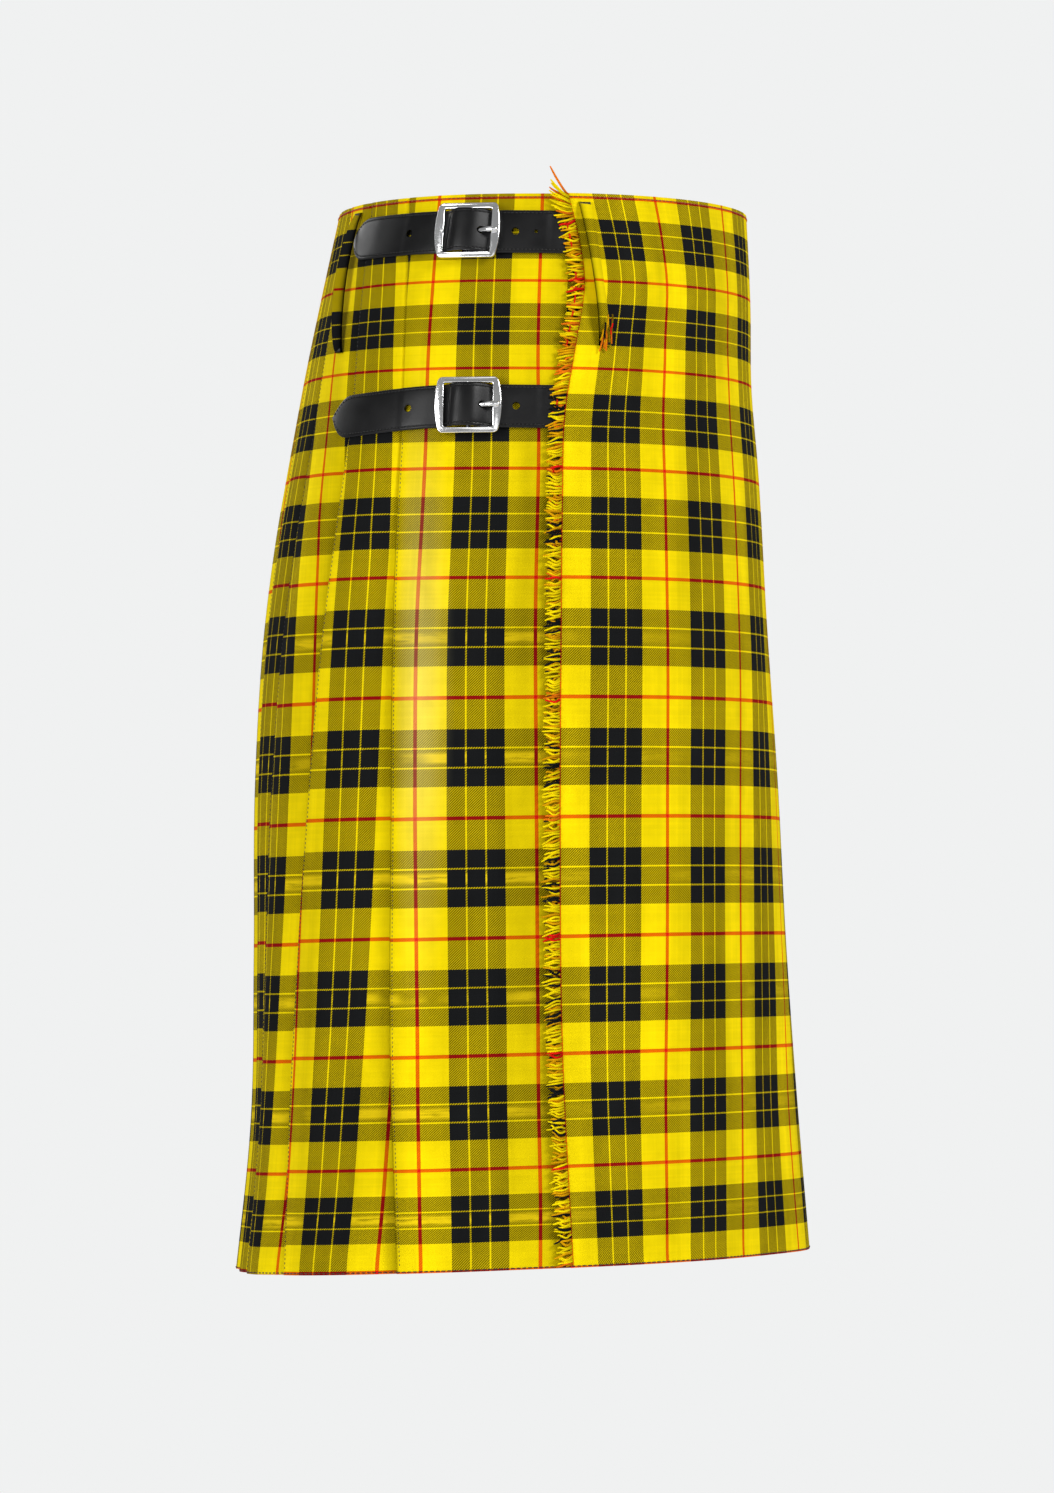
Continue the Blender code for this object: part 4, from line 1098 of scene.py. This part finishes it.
# ---- straps and buckles ----
class Fastening:
    """Where one strap and buckle lie: the buckle's place and the strap's run round the body."""

    def __init__(self, name, height, buckle, run, direction):
        self.name = name
        self.height = height
        self.root, self.tip, self.tip_drop, self.tip_shape = run
        self.direction = direction
        self.ring = ring_at(height)
        self.buckle = buckle
        self.hidden = []

    def base(self, along):
        """The outermost cloth's lift under the strap at a distance from the buckle."""
        return 0.0

    def turn(self, along):
        return self.ring.turn(self.buckle + self.direction * along)

    def outwards(self, turn, height):
        """The point on the surface and the direction square to it."""
        seat = ring_at(round(height, 5)).at_turn(turn)
        up = Ring(height + 0.005).at_turn(turn) - Ring(height - 0.005).at_turn(turn)
        out = ring_at(round(height, 5)).at_turn(turn, 1.0) - seat
        out -= up * np.dot(out, up) / np.dot(up, up)
        return seat, out / np.linalg.norm(out)

    def drop(self, along):
        return self.tip_drop * float(ease(along / self.tip)) if along > 0 else 0.0

    def station(self, along):
        """The middle line's point on the surface and the direction out from it."""
        return self.outwards(self.turn(along), self.height - self.drop(along))

    def point(self, along, across, lift):
        """A point by its distance along the strap, its height on it, and its lift above the ring."""
        seat, out = self.outwards(self.turn(along), self.height - self.drop(along) + across)
        return seat + out * lift

    def axes(self):
        """The buckle's own axes: X along the strap towards its tip, Y up, Z out."""
        middle = Vector(self.point(0.0, 0.0, self.base(0.0)))
        above, below = (Vector(self.point(0.0, side * 0.01, self.base(0.0))) for side in (1, -1))
        ends = (BUCKLE_LENGTH / 2, -BUCKLE_LENGTH / 2)
        ahead, behind = (Vector(self.point(end, 0.0, self.base(end))) for end in ends)
        along = (ahead - behind).normalized()
        out = along.cross(above - below).normalized() * -self.direction
        up = out.cross(along)
        return Matrix.Translation(middle) @ Matrix((along, up, out)).transposed().to_4x4()


class RightFastening(Fastening):
    """One that comes from under the outer apron's fringed edge and lies on the under apron."""

    def base(self, along):
        walk = self.buckle + self.direction * along
        if walk >= pleat_edges(self.ring)[0]:
            return 0.0
        return float(under_apron_lift(self.ring, walk)) + SOLID_CLOTH / 2 + SEAM_GAP


@lru_cache(maxsize=None)
def strap_rise():
    """How the strap rises over the buckle, evened out: places along it and its lift there."""
    along = np.linspace(STRAP_RUN["along"][0], STRAP_RUN["along"][-1], 61)
    return along, evened(np.interp(along, STRAP_RUN["along"], STRAP_RUN["lift"]))


def strap_lift(fastening, along):
    """The leather's middle above the ring at a distance from the buckle."""
    if along <= fastening.hidden[-1][0]:
        return float(np.interp(along, *zip(*fastening.hidden)))
    return fastening.base(along) + float(np.interp(along, *strap_rise()))


def half_width(fastening, along):
    """Half the strap's width, which narrows to a rounded spear at the tip."""
    left = (fastening.tip - along) / SPEAR
    half = STRAP_WIDTH / 2
    return half * max(1 - (1 - left) ** SPEAR_SWELL, 0.0) ** fastening.tip_shape if left < 1 else half


def strap_stations(fastening):
    """The places along a strap where its sections lie, closer together at its tip."""
    tip = fastening.tip
    body = np.linspace(fastening.root, tip - SPEAR, 84)
    spear = [tip - SPEAR * (1 - math.sin(k * math.pi / 36)) for k in range(1, 18)]
    return [*body, *spear, tip - 0.00003]


def strap_section(half):
    """The strap's cut end, flat below, a little swollen above, with rounded edges."""
    angles = np.linspace(0, 2 * math.pi, STRAP_SIDES, endpoint=False) + math.pi / STRAP_SIDES
    across = half * np.sign(np.cos(angles)) * np.abs(np.cos(angles)) ** 0.45
    lift = LEATHER / 2 * np.sign(np.sin(angles)) * np.abs(np.sin(angles)) ** 0.5
    swell = np.where(lift > 0, STRAP_PILLOW * (1 - (across / half) ** 2) * min(1.0, half / 0.008), 0.0)
    return across, lift + swell


def strap(fastening):
    """The leather strap: flat on the cloth, up over the centre bar, and a spear-shaped tip."""
    sections, places = [], []
    for along in strap_stations(fastening):
        half = max(half_width(fastening, along), 0.0004)
        across, lifts = strap_section(half)
        middle = strap_lift(fastening, along)
        sections.append([fastening.point(along, a, middle + l) for a, l in zip(across, lifts)])
        places.extend((a / half, along) for a in across)
    piece = loft("strap_leather_" + fastening.name, sections, LEATHER_BLACK, places)
    cut_holes(piece, fastening)
    smooth(piece, 40)
    return stand_for(piece, "strap_" + fastening.name)


def cut_holes(piece, fastening):
    """Punches the strap's round holes; the one for the prong leans the way the prong does."""
    axes = fastening.axes()
    for along in HOLES[fastening.name]:
        if along is None:
            low = Vector((PRONG_RUN["along"][1], 0, PRONG_RUN["lift"][1]))
            high = Vector((PRONG_RUN["along"][3], 0, PRONG_RUN["lift"][3]))
            middle = axes @ ((low + high) / 2)
            axis = axes.to_3x3() @ (high - low).normalized()
        else:
            middle = Vector(fastening.point(along, 0.0, strap_lift(fastening, along)))
            axis = Vector(fastening.station(along)[1])
        radius = SMALL_HOLE_RADIUS if along == SMALL_HOLE else STRAP_HOLE_RADIUS
        bpy.ops.mesh.primitive_cylinder_add(vertices=28, radius=radius, depth=0.009, location=middle)
        punch = bpy.context.active_object
        punch.rotation_mode = "QUATERNION"
        punch.rotation_quaternion = axis.to_track_quat("Z", "Y")
        punch_out(piece, punch)


def strap_stitches(fastening):
    """Two lines of stitches inside the strap's edges that meet round its tip."""
    spots = []
    for side in (-1, 1):
        path = []
        for along in np.linspace(fastening.root + 0.03, fastening.tip - STITCH_INSET, 600):
            inset = STITCH_INSET * (1 if fastening.tip - along > SPEAR else 1.15)
            half = half_width(fastening, along) - inset
            if half < 0.0003:
                break
            top = LEATHER / 2 + STRAP_PILLOW * (1 - (half / half_width(fastening, along)) ** 2)
            path.append((along, side * half, strap_lift(fastening, along) + top - STITCH_SUNK))
        points = [fastening.point(*place) for place in path[::3]]
        outs = [fastening.station(place[0])[1] for place in path[::3]]
        steps = np.concatenate([[0], np.cumsum([math.dist(a, b) for a, b in zip(points, points[1:])])])
        for reached in np.arange(0, steps[-1], STITCH_PITCH):
            n = int(np.clip(np.searchsorted(steps, reached), 1, len(points) - 1))
            share = (reached - steps[n - 1]) / (steps[n] - steps[n - 1])
            middle = points[n - 1] * (1 - share) + points[n] * share
            spots.append((middle, points[n] - points[n - 1], outs[n]))
    piece = stitches("strap_stitches_" + fastening.name, spots, THREAD_BLACK)
    return stand_for(piece, "strap_" + fastening.name)


def plate(length, height, corner, bow, thickness):
    """A plate with round corners and bowed ends."""
    bpy.ops.mesh.primitive_plane_add(size=1.0)
    piece = bpy.context.active_object
    piece.scale = (length - 2 * bow, height, 1.0)
    bpy.ops.object.transform_apply(location=False, rotation=False, scale=True)
    select_only(piece)
    bpy.ops.object.mode_set(mode="EDIT")
    bpy.ops.mesh.select_mode(type="VERT")
    bpy.ops.mesh.select_all(action="SELECT")
    bpy.ops.mesh.bevel(offset=corner, segments=7, affect="VERTICES")
    bpy.ops.mesh.select_all(action="DESELECT")
    bpy.ops.mesh.select_mode(type="EDGE")
    work = bmesh.from_edit_mesh(piece.data)
    for line in work.edges:
        a, b = (vert.co for vert in line.verts)
        line.select = abs(a.x - b.x) < 1e-6 and abs(a.y - b.y) > height / 3
    work.select_flush_mode()
    bpy.ops.mesh.subdivide(number_cuts=9)
    work = bmesh.from_edit_mesh(piece.data)
    for vert in work.verts:
        share = vert.co.y / (height / 2)
        vert.co.x += math.copysign(bow, vert.co.x) * (1 - share * share)
    bpy.ops.object.mode_set(mode="OBJECT")
    thick = piece.modifiers.new("thickness", "SOLIDIFY")
    thick.thickness = thickness
    thick.offset = 0.0
    apply_modifiers(piece)
    return piece


def buckle(fastening):
    """The frame: a plate with bowed ends, opened and rolled at its edges, and its centre bar."""
    piece = plate(BUCKLE_LENGTH, BUCKLE_HEIGHT, BUCKLE_CORNER, BUCKLE_BOW, BUCKLE_THICKNESS)
    wide, high = BUCKLE_LENGTH - 2 * BUCKLE_SIDE_BAR, BUCKLE_HEIGHT - 2 * BUCKLE_END_BAR
    punch_out(piece, plate(wide, high, BUCKLE_INNER_CORNER, 0.0, 0.01))
    rolled = piece.modifiers.new("rolled edges", "BEVEL")
    rolled.width = BUCKLE_ROLL
    rolled.segments = 3
    rolled.limit_method = "ANGLE"
    rolled.angle_limit = math.radians(50)
    apply_modifiers(piece)
    upright = (math.pi / 2, 0, 0)
    bpy.ops.mesh.primitive_cylinder_add(
        vertices=20, radius=CENTRE_BAR_RADIUS, depth=high + BAR_OVERLAP, rotation=upright
    )
    bar = bpy.context.active_object
    bpy.ops.object.transform_apply(location=False, rotation=True, scale=False)
    piece = joined("buckle_frame_" + fastening.name, [piece, bar])
    piece.data.materials.clear()
    piece.data.materials.append(NICKEL)
    places = [vert.co for vert in piece.data.vertices]
    point_values(piece, "dome", [-BUCKLE_DOME[0] * p.x**2 - BUCKLE_DOME[1] * p.y**2 for p in places])
    piece.data.transform(fastening.axes() @ Matrix.Translation((0, 0, BAR_LIFT)))
    smooth(piece, 45)
    return stand_for(piece, "buckle_" + fastening.name)


def prong(fastening):
    """A bent wire from its eye round the centre bar, up through the strap and onto the side bar."""
    runs = np.linspace(0, 1, 31)
    stations = np.linspace(0, 1, len(PRONG_RUN))
    alongs = np.interp(runs, stations, PRONG_RUN["along"])
    lifts = evened(np.interp(runs, stations, PRONG_RUN["lift"]))
    angles = np.linspace(0, 2 * math.pi, 14, endpoint=False)
    sections = []
    for n, (along, lift) in enumerate(zip(alongs, lifts)):
        before, after = max(n - 1, 0), min(n + 1, len(runs) - 1)
        slope = Vector((alongs[after] - alongs[before], 0, lifts[after] - lifts[before])).normalized()
        up = Vector((0, 1, 0))
        out = slope.cross(up)
        left = 1 - runs[n]
        size = PRONG_RADIUS * min(1.0, PRONG_TIP + 1.6 * left) * (0.55 if n == len(runs) - 1 else 1.0)
        wide, deep = up * size * PRONG_FLAT[0], out * size * PRONG_FLAT[1]
        middle = Vector((along, 0, lift))
        sections.append([tuple(middle + wide * math.cos(t) + deep * math.sin(t)) for t in angles])
    wire = loft("prong_wire", sections, NICKEL)
    bpy.ops.mesh.primitive_torus_add(
        major_radius=CENTRE_BAR_RADIUS + EYE_WIRE + 0.0001,
        minor_radius=EYE_WIRE,
        major_segments=24,
        minor_segments=10,
        location=(0, 0, BAR_LIFT),
        rotation=(math.pi / 2, 0, 0),
    )
    eye = bpy.context.active_object
    bpy.ops.object.transform_apply(location=True, rotation=True, scale=False)
    eye.data.materials.append(NICKEL)
    piece = joined("prong_wire_" + fastening.name, [wire, eye])
    piece.data.transform(fastening.axes())
    smooth(piece, 50)
    return stand_for(piece, "prong_" + fastening.name)


def chape(fastening):
    """The leather tab round the centre bar that holds the buckle, slotted for the prong."""
    inner = CENTRE_BAR_RADIUS + SEAM_GAP
    outer = inner + CHAPE_LEATHER
    round_outer = [math.radians(a) for a in range(180, -61, -12)]
    outside = [(CHAPE_TAIL, SEAM_GAP), (0.0, BAR_LIFT - outer)]
    outside += [(-outer * math.sin(a), BAR_LIFT + outer * math.cos(a)) for a in round_outer[1:]]
    inside = [(-inner * math.sin(a), BAR_LIFT + inner * math.cos(a)) for a in round_outer[::-1]]
    inside.append((CHAPE_TAIL, SEAM_GAP + CHAPE_LEATHER))
    outline = outside + inside
    halves = []
    for side in (-1, 1):
        spans = (side * PRONG_SLOT / 2, side * CHAPE_WIDTH / 2)
        sections = [[(x, across, z) for x, z in outline] for across in spans]
        places = [(across / CHAPE_WIDTH * 1.2, x) for across in spans for x, _ in outline]
        halves.append(loft("chape_side", sections, LEATHER_BLACK, places))
    piece = joined("chape_leather_" + fastening.name, halves)
    piece.data.transform(fastening.axes())
    smooth(piece, 40)
    return stand_for(piece, "chape_" + fastening.name)


def fastenings():
    """The two on the wearer's right that hold the outer apron, and the left one for the under apron."""
    upper, lower = ring_at(0.0), ring_at(LOWER_STRAP)
    buckle_upper, buckle_lower = upper.walk_to(BUCKLE_BACK), lower.walk_to(BUCKLE_BACK)
    right_upper = RightFastening("right_upper", 0.0, buckle_upper, UPPER_RUN, 1)
    right_lower = RightFastening("right_lower", LOWER_STRAP, buckle_lower, LOWER_RUN, 1)
    left = Fastening("left_upper", 0.0, upper.length / 2 - buckle_upper, UPPER_RUN, -1)
    for fastening in (right_upper, right_lower):
        edge = fastening.ring.edge("fringe") - fastening.buckle
        fastening.hidden = [(fastening.root, BETWEEN_APRONS), (edge + FRINGE_COVER, BETWEEN_APRONS)]
    slit = left.buckle - (pleat_edges(upper)[-1] + sum(SLIT) / 2)
    left.hidden = [
        (left.root, BETWEEN_APRONS),
        (slit - SLIT_RISE, BETWEEN_APRONS),
        (slit + SLIT_RISE, ON_APRON),
    ]
    return right_upper, right_lower, left


# ---- sewing on the cloth ----
def outermost(ring, walk):
    """The lift of the cloth's outer face at a place on the ring, from the fringe round to the apron."""
    edges = pleat_edges(ring)
    if walk <= edges[0]:
        return float(under_apron_lift(ring, walk)) + CLOTH / 2
    for panel, (start, edge) in enumerate(zip(edges, edges[1:])):
        if walk <= edge:
            return float(pleat_face(ring, panel, (walk - start) / (edge - start))) + CLOTH / 2
    return float(apron_face(ring, walk - edges[-1])) + CLOTH / 2


def sewn_spot(height, walk, along=None):
    """A stitch's place on the cloth, the way it runs (down unless given) and the way out."""
    ring = ring_at(round(float(height), 5))
    lift = outermost(ring, walk)
    spot, beyond = ring.points([walk, walk], [lift, lift + 0.01])
    if along is None:
        return spot, (0.0, 0.0, 1.0), beyond - spot
    ahead = ring.points([walk + 0.002], [lift])[0]
    return spot, ahead - spot, beyond - spot


def round_stitches(name, height, pitch, finish):
    """A row of stitches round the whole kilt, from the fringe back to it."""
    ring = ring_at(round(float(height), 5))
    start = ring.edge("fringe")
    walks = np.arange(start + 0.004, ring.length + start - 0.001, pitch)
    spots = [sewn_spot(height, walk, "round") for walk in walks]
    return stitches(name, spots, finish, length=pitch * 0.78)


def fold_stitches(name, numbers, high):
    """Fine stitches down the pressed edges of the folds."""
    spots = []
    for number in numbers:
        for height in np.arange(high, HEM + 0.004, -0.0026):
            ring = ring_at(round(float(height), 5))
            walk = pleat_edges(ring)[number] - layer_step(ring.height) / 2 - 0.0004
            spots.append(sewn_spot(height, walk))
    return stitches(name, spots, THREAD_BLACK, length=0.0014, width=0.00022)


def cloth_stitches():
    """The top's and the hem's rows of stitches, and those down the folds."""
    top = round_stitches("stitches_top", TOP - 0.0021, 0.0030, THREAD_BRONZE)
    hem = round_stitches("stitches_hem", HEM + 0.0010, 0.0034, THREAD_BROWN)
    apron_fold = fold_stitches("stitches_apron_fold", (0,), -0.125)
    pleats = fold_stitches("stitches_pleats", range(1, PLEATS + 1), TOP - 0.006)
    for piece in (top, hem, apron_fold, pleats):
        stand_for(piece, "under_apron" if piece == apron_fold else "pleated_back")


# ---- belt loops ----
def on_side(point, side):
    """A place or direction on the wearer's right, or the same one mirrored to their left."""
    return np.asarray(point) * (-1, 1, 1) if side == "left" else point


def loop_walk(ring, row, share, side):
    """Where a loop's middle line lies on the ring, from its top (0) to its foot (1)."""
    behind = row["top"] + (row["foot"] - row["top"]) * share
    return ring.walk_to(behind) + (row["left_shift"] if side == "left" else 0.0)


def loop_lift(share):
    """How far a loop's back stands off the cloth."""
    return SEAM_GAP + LOOP_BOW * math.sin(math.pi * min(max(share, 1e-4), 1 - 1e-4)) ** 0.7


def loop_twist(share):
    """How far a loop is turned on its length, in radians."""
    return LOOP_TWIST * math.sin(math.pi * share) ** 0.6 if 0 < share < 1 else 0.0


def loop(row, side):
    """A belt loop: a narrow turned strip of the tartan that stands off the cloth between its ends."""
    heights = np.linspace(LOOP_TOP, LOOP_FOOT, 40)
    angles = np.linspace(0, 2 * math.pi, 20, endpoint=False)
    across = np.sign(np.cos(angles)) * np.abs(np.cos(angles)) ** 0.5 * LOOP_WIDTH / 2
    rise = (np.sign(np.sin(angles)) * np.abs(np.sin(angles)) ** 0.6 + 1) * LOOP_THICKNESS / 2
    sections, places, shades = [], [], []
    for number, height in enumerate(heights):
        share = number / (len(heights) - 1)
        ring = ring_at(float(height))
        walk = loop_walk(ring, row, share, side)
        twist = loop_twist(share)
        foot = float(ease((share - 0.88) / 0.12))
        section = []
        for a, r in zip(across, rise):
            out = loop_lift(share) + r + (a + LOOP_WIDTH / 2) * math.sin(twist)
            spot = ring.at_turn(ring.turn(walk + a * math.cos(twist)), out)
            section.append(on_side(spot, side))
            places.append((row["across_sett"] - a / SETT, -sett_down(height)))
            # Painted shadow along the loop's edge that stands off the cloth; its foot is drawn darker too.
            side_share = max(a * row["soiled_side"] / (LOOP_WIDTH / 2), 0.0)
            shades.append(LOOP_EDGE_SHADOW_PAINT * side_share**2 + LOOP_FOOT_DARKER * foot)
        sections.append(section)
    name = f"{row['name']}_{side}"
    piece = loft("tartan_" + name, sections, WOOL, places)
    point_values(piece, "painted_shade_and_sheen", shades)
    smooth(piece, 50)
    return stand_for(piece, name)


def loop_bartacks(row, side):
    """Close stitches across both ends of a belt loop."""
    spots = []
    reach = LOOP_WIDTH / 2 - 0.0012
    for height in (LOOP_TOP - 0.0012, LOOP_FOOT + 0.0016):
        ring = ring_at(float(height))
        share = (LOOP_TOP - height) / LOOP_LENGTH
        walk = loop_walk(ring, row, share, side)
        for place in np.linspace(-reach, reach, 10):
            turn = ring.turn(walk + place)
            spot = ring.at_turn(turn, loop_lift(share) + LOOP_THICKNESS)
            out = ring.at_turn(turn, 1.0) - ring.at_turn(turn)
            spots.append((on_side(spot, side), (0, 0, 1), on_side(out, side)))
    name = f"{row['name']}_{side}"
    piece = stitches("bartacks_" + name, spots, THREAD_BLACK, length=0.0020, width=0.00032)
    return stand_for(piece, name)


def loop_frays(side):
    """Loose threads where the front loop's foot has frayed."""
    row, chance = LOOPS[0], random.Random(23)
    ring = ring_at(float(LOOP_FOOT))
    walk = ring.walk_to(row["foot"])
    yarns = Yarns()
    for dye in FRAY_DYES:
        beside = LOOP_WIDTH * chance.uniform(-0.42, 0.42)
        length, sway = chance.uniform(0.005, 0.009), chance.uniform(-0.0015, 0.0015)
        start = chance.uniform(0.004, 0.019)
        middles = []
        for t in np.linspace(0, 1, 7):
            above = start - length * t
            share = min(max(above, 0.0001) / LOOP_LENGTH, 0.5)
            twist = loop_twist(share)
            lift = loop_lift(share) + LOOP_THICKNESS + (beside + LOOP_WIDTH / 2) * math.sin(twist)
            lift += 0.0004 + 0.0008 * math.sin(math.pi * t)
            place = walk + beside * math.cos(twist) + sway * t * t
            spot = ring.at_turn(ring.turn(place), lift) + np.array([0, 0, above])
            middles.append(on_side(spot, side))
        yarns.add(middles, np.full(7, THIN_YARN), dye)
    return stand_for(yarns.finished("loose_threads_" + side), f"loop_front_{side}")


# ---- fringe ----
def half_sett(height):
    """How far the cloth at this height is from the black's middle (0) towards the red line (1)."""
    return abs(sett_down(height) % 1.0 - 0.5) * 2


def edge_point(height, behind, lift, sink=0.0):
    """A point beside the outer apron's edge: this far past it, out from the cloth and down."""
    ring = ring_at(round(float(height), 5))
    edge = ring.length + ring.edge("fringe")
    return ring.points([edge + behind], [OUTER_LIFT + lift])[0] - np.array([0, 0, sink])


def strand(yarns, level, length, droop, lift, curl, radius, dye):
    """One yarn end: rooted in the edge, bending over and curling to its tip."""
    turns = np.linspace(0, 1, 9)
    middles = []
    for t in turns:
        behind = length * (t - 0.08 * curl * t**3) - ROOTED
        sink = droop * t**1.3 + 0.0009 * curl * math.sin(math.pi * t * 1.6)
        middles.append(edge_point(level, behind, lift * math.sin(math.pi * min(t + 0.2, 1.0)), sink))
    yarns.add(middles, radius * (1 - 0.45 * turns**6), dye)


def tuft(yarns, chance):
    """The topmost strands, which stand up."""
    for number in range(TUFT):
        share = number / (TUFT - 1)
        rise = TUFT_RISE * (1 - share) if number else TUFT_TIP
        dye = "orange" if number in ORANGE_IN_TUFT else "yellow"
        length = TUFT_LENGTH * (0.9 if number == 0 else chance.uniform(0.9, 1.1))
        level = TUFT_TOP - TUFT_HEIGHT * share
        lift = 0.0008 + 0.0012 * (number % 3)
        strand(yarns, level, length, -rise, lift, chance.uniform(-0.6, 0.9), YARN_RADIUS, dye)


def strand_dye(level, chance):
    """Mostly yellow and gold, with some black beside the black rows and red or orange beside the red
    ones and near the top."""
    half = half_sett(level)
    dye = "gold" if chance.random() < 0.3 else "yellow"
    if half < DARK_ROW and level < -0.07 and chance.random() < 0.28:
        dye = "black"
    elif half > 0.95 or (level > -0.09 and chance.random() < 0.10):
        dye = "orange" if chance.random() < 0.6 else "red"
    return dye


def locks(yarns, chance):
    """The strands below the tuft, in uneven locks, each with a dark one under it that partly stands in for
    the shadow between the strands, and a middling one.
    """
    pitch = (TOP - FRINGE_HEM) / STRANDS
    for number in range(int(TUFT_HEIGHT / pitch) + 1, STRANDS):
        level = TOP - pitch * (number + 0.5)
        dye = strand_dye(level, chance)
        lock = 0.0010 * math.sin(number * 2 * math.pi / 4.3 + 1.3 * math.sin(number * 0.4))
        wave = 0.0010 * math.sin(number * 0.21) + 0.0008 * math.sin(number * 0.083 + 1.0)
        length = FRINGE_LENGTH * chance.uniform(0.84, 1.04)
        droop = 0.0012 + wave + lock + chance.uniform(-0.0011, 0.0011)
        lift = chance.uniform(0.0008, 0.0018)
        radius = YARN_RADIUS * chance.uniform(0.85, 1.12)
        strand(yarns, level, length, droop, lift, chance.uniform(-0.9, 1.9), radius, dye)
        # The dark strand under each, black or ochre: beside the black rows partly their own yarn, and
        # everywhere dark yarn put in as painted shadow between the strands.
        dye = "black" if chance.random() < (0.6 if half_sett(level) < DARK_ROW else 0.35) else "ochre"
        length *= chance.uniform(0.60, 0.95)
        droop += chance.uniform(-0.0014, 0.0014)
        curl = chance.uniform(-1.0, 1.0)
        strand(yarns, level - pitch / 2, length, droop, -0.0004, curl, YARN_RADIUS * 0.9, dye)
        dye = "gold" if chance.random() < 0.6 else ("orange" if level > -0.2 else "ochre")
        length *= chance.uniform(0.70, 1.0)
        droop += chance.uniform(-0.0016, 0.0010)
        curl = chance.uniform(-1.6, 1.6)
        strand(yarns, level - pitch / 3, length, droop, 0.0003, curl, YARN_RADIUS * 0.8, dye)


def red_yarn(yarns):
    """A red yarn that runs up the fringe and comes over its strands in places."""
    lifts = 0.0004 + 0.0017 * np.sin(np.linspace(0, math.pi, 7)) ** 0.5
    for high, low in RED_DASHES:
        heights = np.linspace(high, low, 7)
        middles = [edge_point(h, 0.0042, lift) for h, lift in zip(heights, lifts)]
        yarns.add(middles, np.full(7, THIN_YARN), "red")


def fringe():
    """Frayed yarn ends along the outer apron's edge, with a tuft at the top."""
    yarns, chance = Yarns(), random.Random(7)
    tuft(yarns, chance)
    locks(yarns, chance)
    red_yarn(yarns)
    return stand_for(yarns.finished("frayed_edge"), "apron_fringe")


# ---- the whole ----
outer_apron = cloth("outer_apron", outer_apron_run, 0.25, left_open=over_slit)
under_apron = cloth("under_apron", under_apron_run, 1.0)
pleated_back = cloth("pleated_back", pleat_run, 0.9, row_shift=pleat_row_shift)
edge_fringe = fringe()
cloth_stitches()
for loop_row in LOOPS:
    for side_name in ("right", "left"):
        loop(loop_row, side_name)
        loop_bartacks(loop_row, side_name)
for side_name in ("right", "left"):
    loop_frays(side_name)
for place in fastenings():
    strap(place)
    strap_stitches(place)
    buckle(place)
    prong(place)
    chape(place)


# ---- floor, light and camera ----
LAMPS = (  # name, place, size and power
    ("key", (-2.4, -2.3, 1.7), 1.4, 88.0),
    ("card", (-5.3, 0.0, -0.2), 3.0, 22.0),
    ("fill", (-2.7, 2.4, 0.3), 1.8, 62.0),
    ("front", (1.6, -2.8, 1.0), 1.6, 18.0),
    ("back", (2.2, 2.4, 0.9), 1.6, 24.0),
)
LIT_PLACE = (0.0, 0.0, -0.3)  # where the lamps point
FLOOR_HEIGHT = -1.10
CAMERA_PLACE = (-4.8, 0.0108, -0.4467)
CAMERA_UP = 1.714  # degrees above level
SENSOR = 36.0
CAMERA_REACH = 7803 / 1493  # the lens's length, as a share of the sensor's height


def studio():
    """A pale floor under the kilt, a pale surround, large soft lights and a card for the metal."""
    scene = bpy.context.scene
    scene.view_settings.view_transform = "Standard"
    under = (0, 0, FLOOR_HEIGHT)
    bpy.ops.mesh.primitive_circle_add(vertices=96, radius=2.2, fill_type="NGON", location=under)
    floor = bpy.context.active_object
    floor.name = "studio_floor"
    paper = {"Roughness": 0.9, "Base Color": linear("#E4E5E5")}
    floor.data.materials.append(new_material("matt_paper_floor", paper)[0])
    world = bpy.data.worlds.new("pale studio")
    scene.world = world
    world.use_nodes = True
    tree = world.node_tree
    dim = tree.nodes["Background"]
    set_inputs(tree, dim, {"Color": linear("#F0F1F1"), "Strength": 0.30})
    seen = add_node(tree, "LightPath").outputs["Is Camera Ray"]
    backdrop = add_node(tree, "Background", {0: linear("#F0F1F1"), 1: 1.0})
    both = add_node(tree, "MixShader", {0: seen, 1: dim, 2: backdrop})
    set_inputs(tree, tree.nodes["World Output"], {"Surface": both})
    for name, spot, size, power in LAMPS:
        bpy.ops.object.light_add(type="AREA", location=spot)
        lamp = bpy.context.active_object
        lamp.name = name + "_light"
        lamp.data.shape = "DISK"
        lamp.data.size = size
        lamp.data.energy = power
        lamp.rotation_mode = "QUATERNION"
        lamp.rotation_quaternion = (Vector(LIT_PLACE) - Vector(spot)).to_track_quat("-Z", "Y")


def camera():
    """Level with the hips, far off, at the wearer's right."""
    bpy.ops.object.camera_add(location=CAMERA_PLACE)
    view = bpy.context.active_object
    view.rotation_euler = (math.radians(90 + CAMERA_UP), 0, math.radians(-90))
    view.data.sensor_fit = "VERTICAL"
    view.data.sensor_height = SENSOR
    view.data.lens = SENSOR * CAMERA_REACH
    bpy.context.scene.camera = view


studio()
camera()
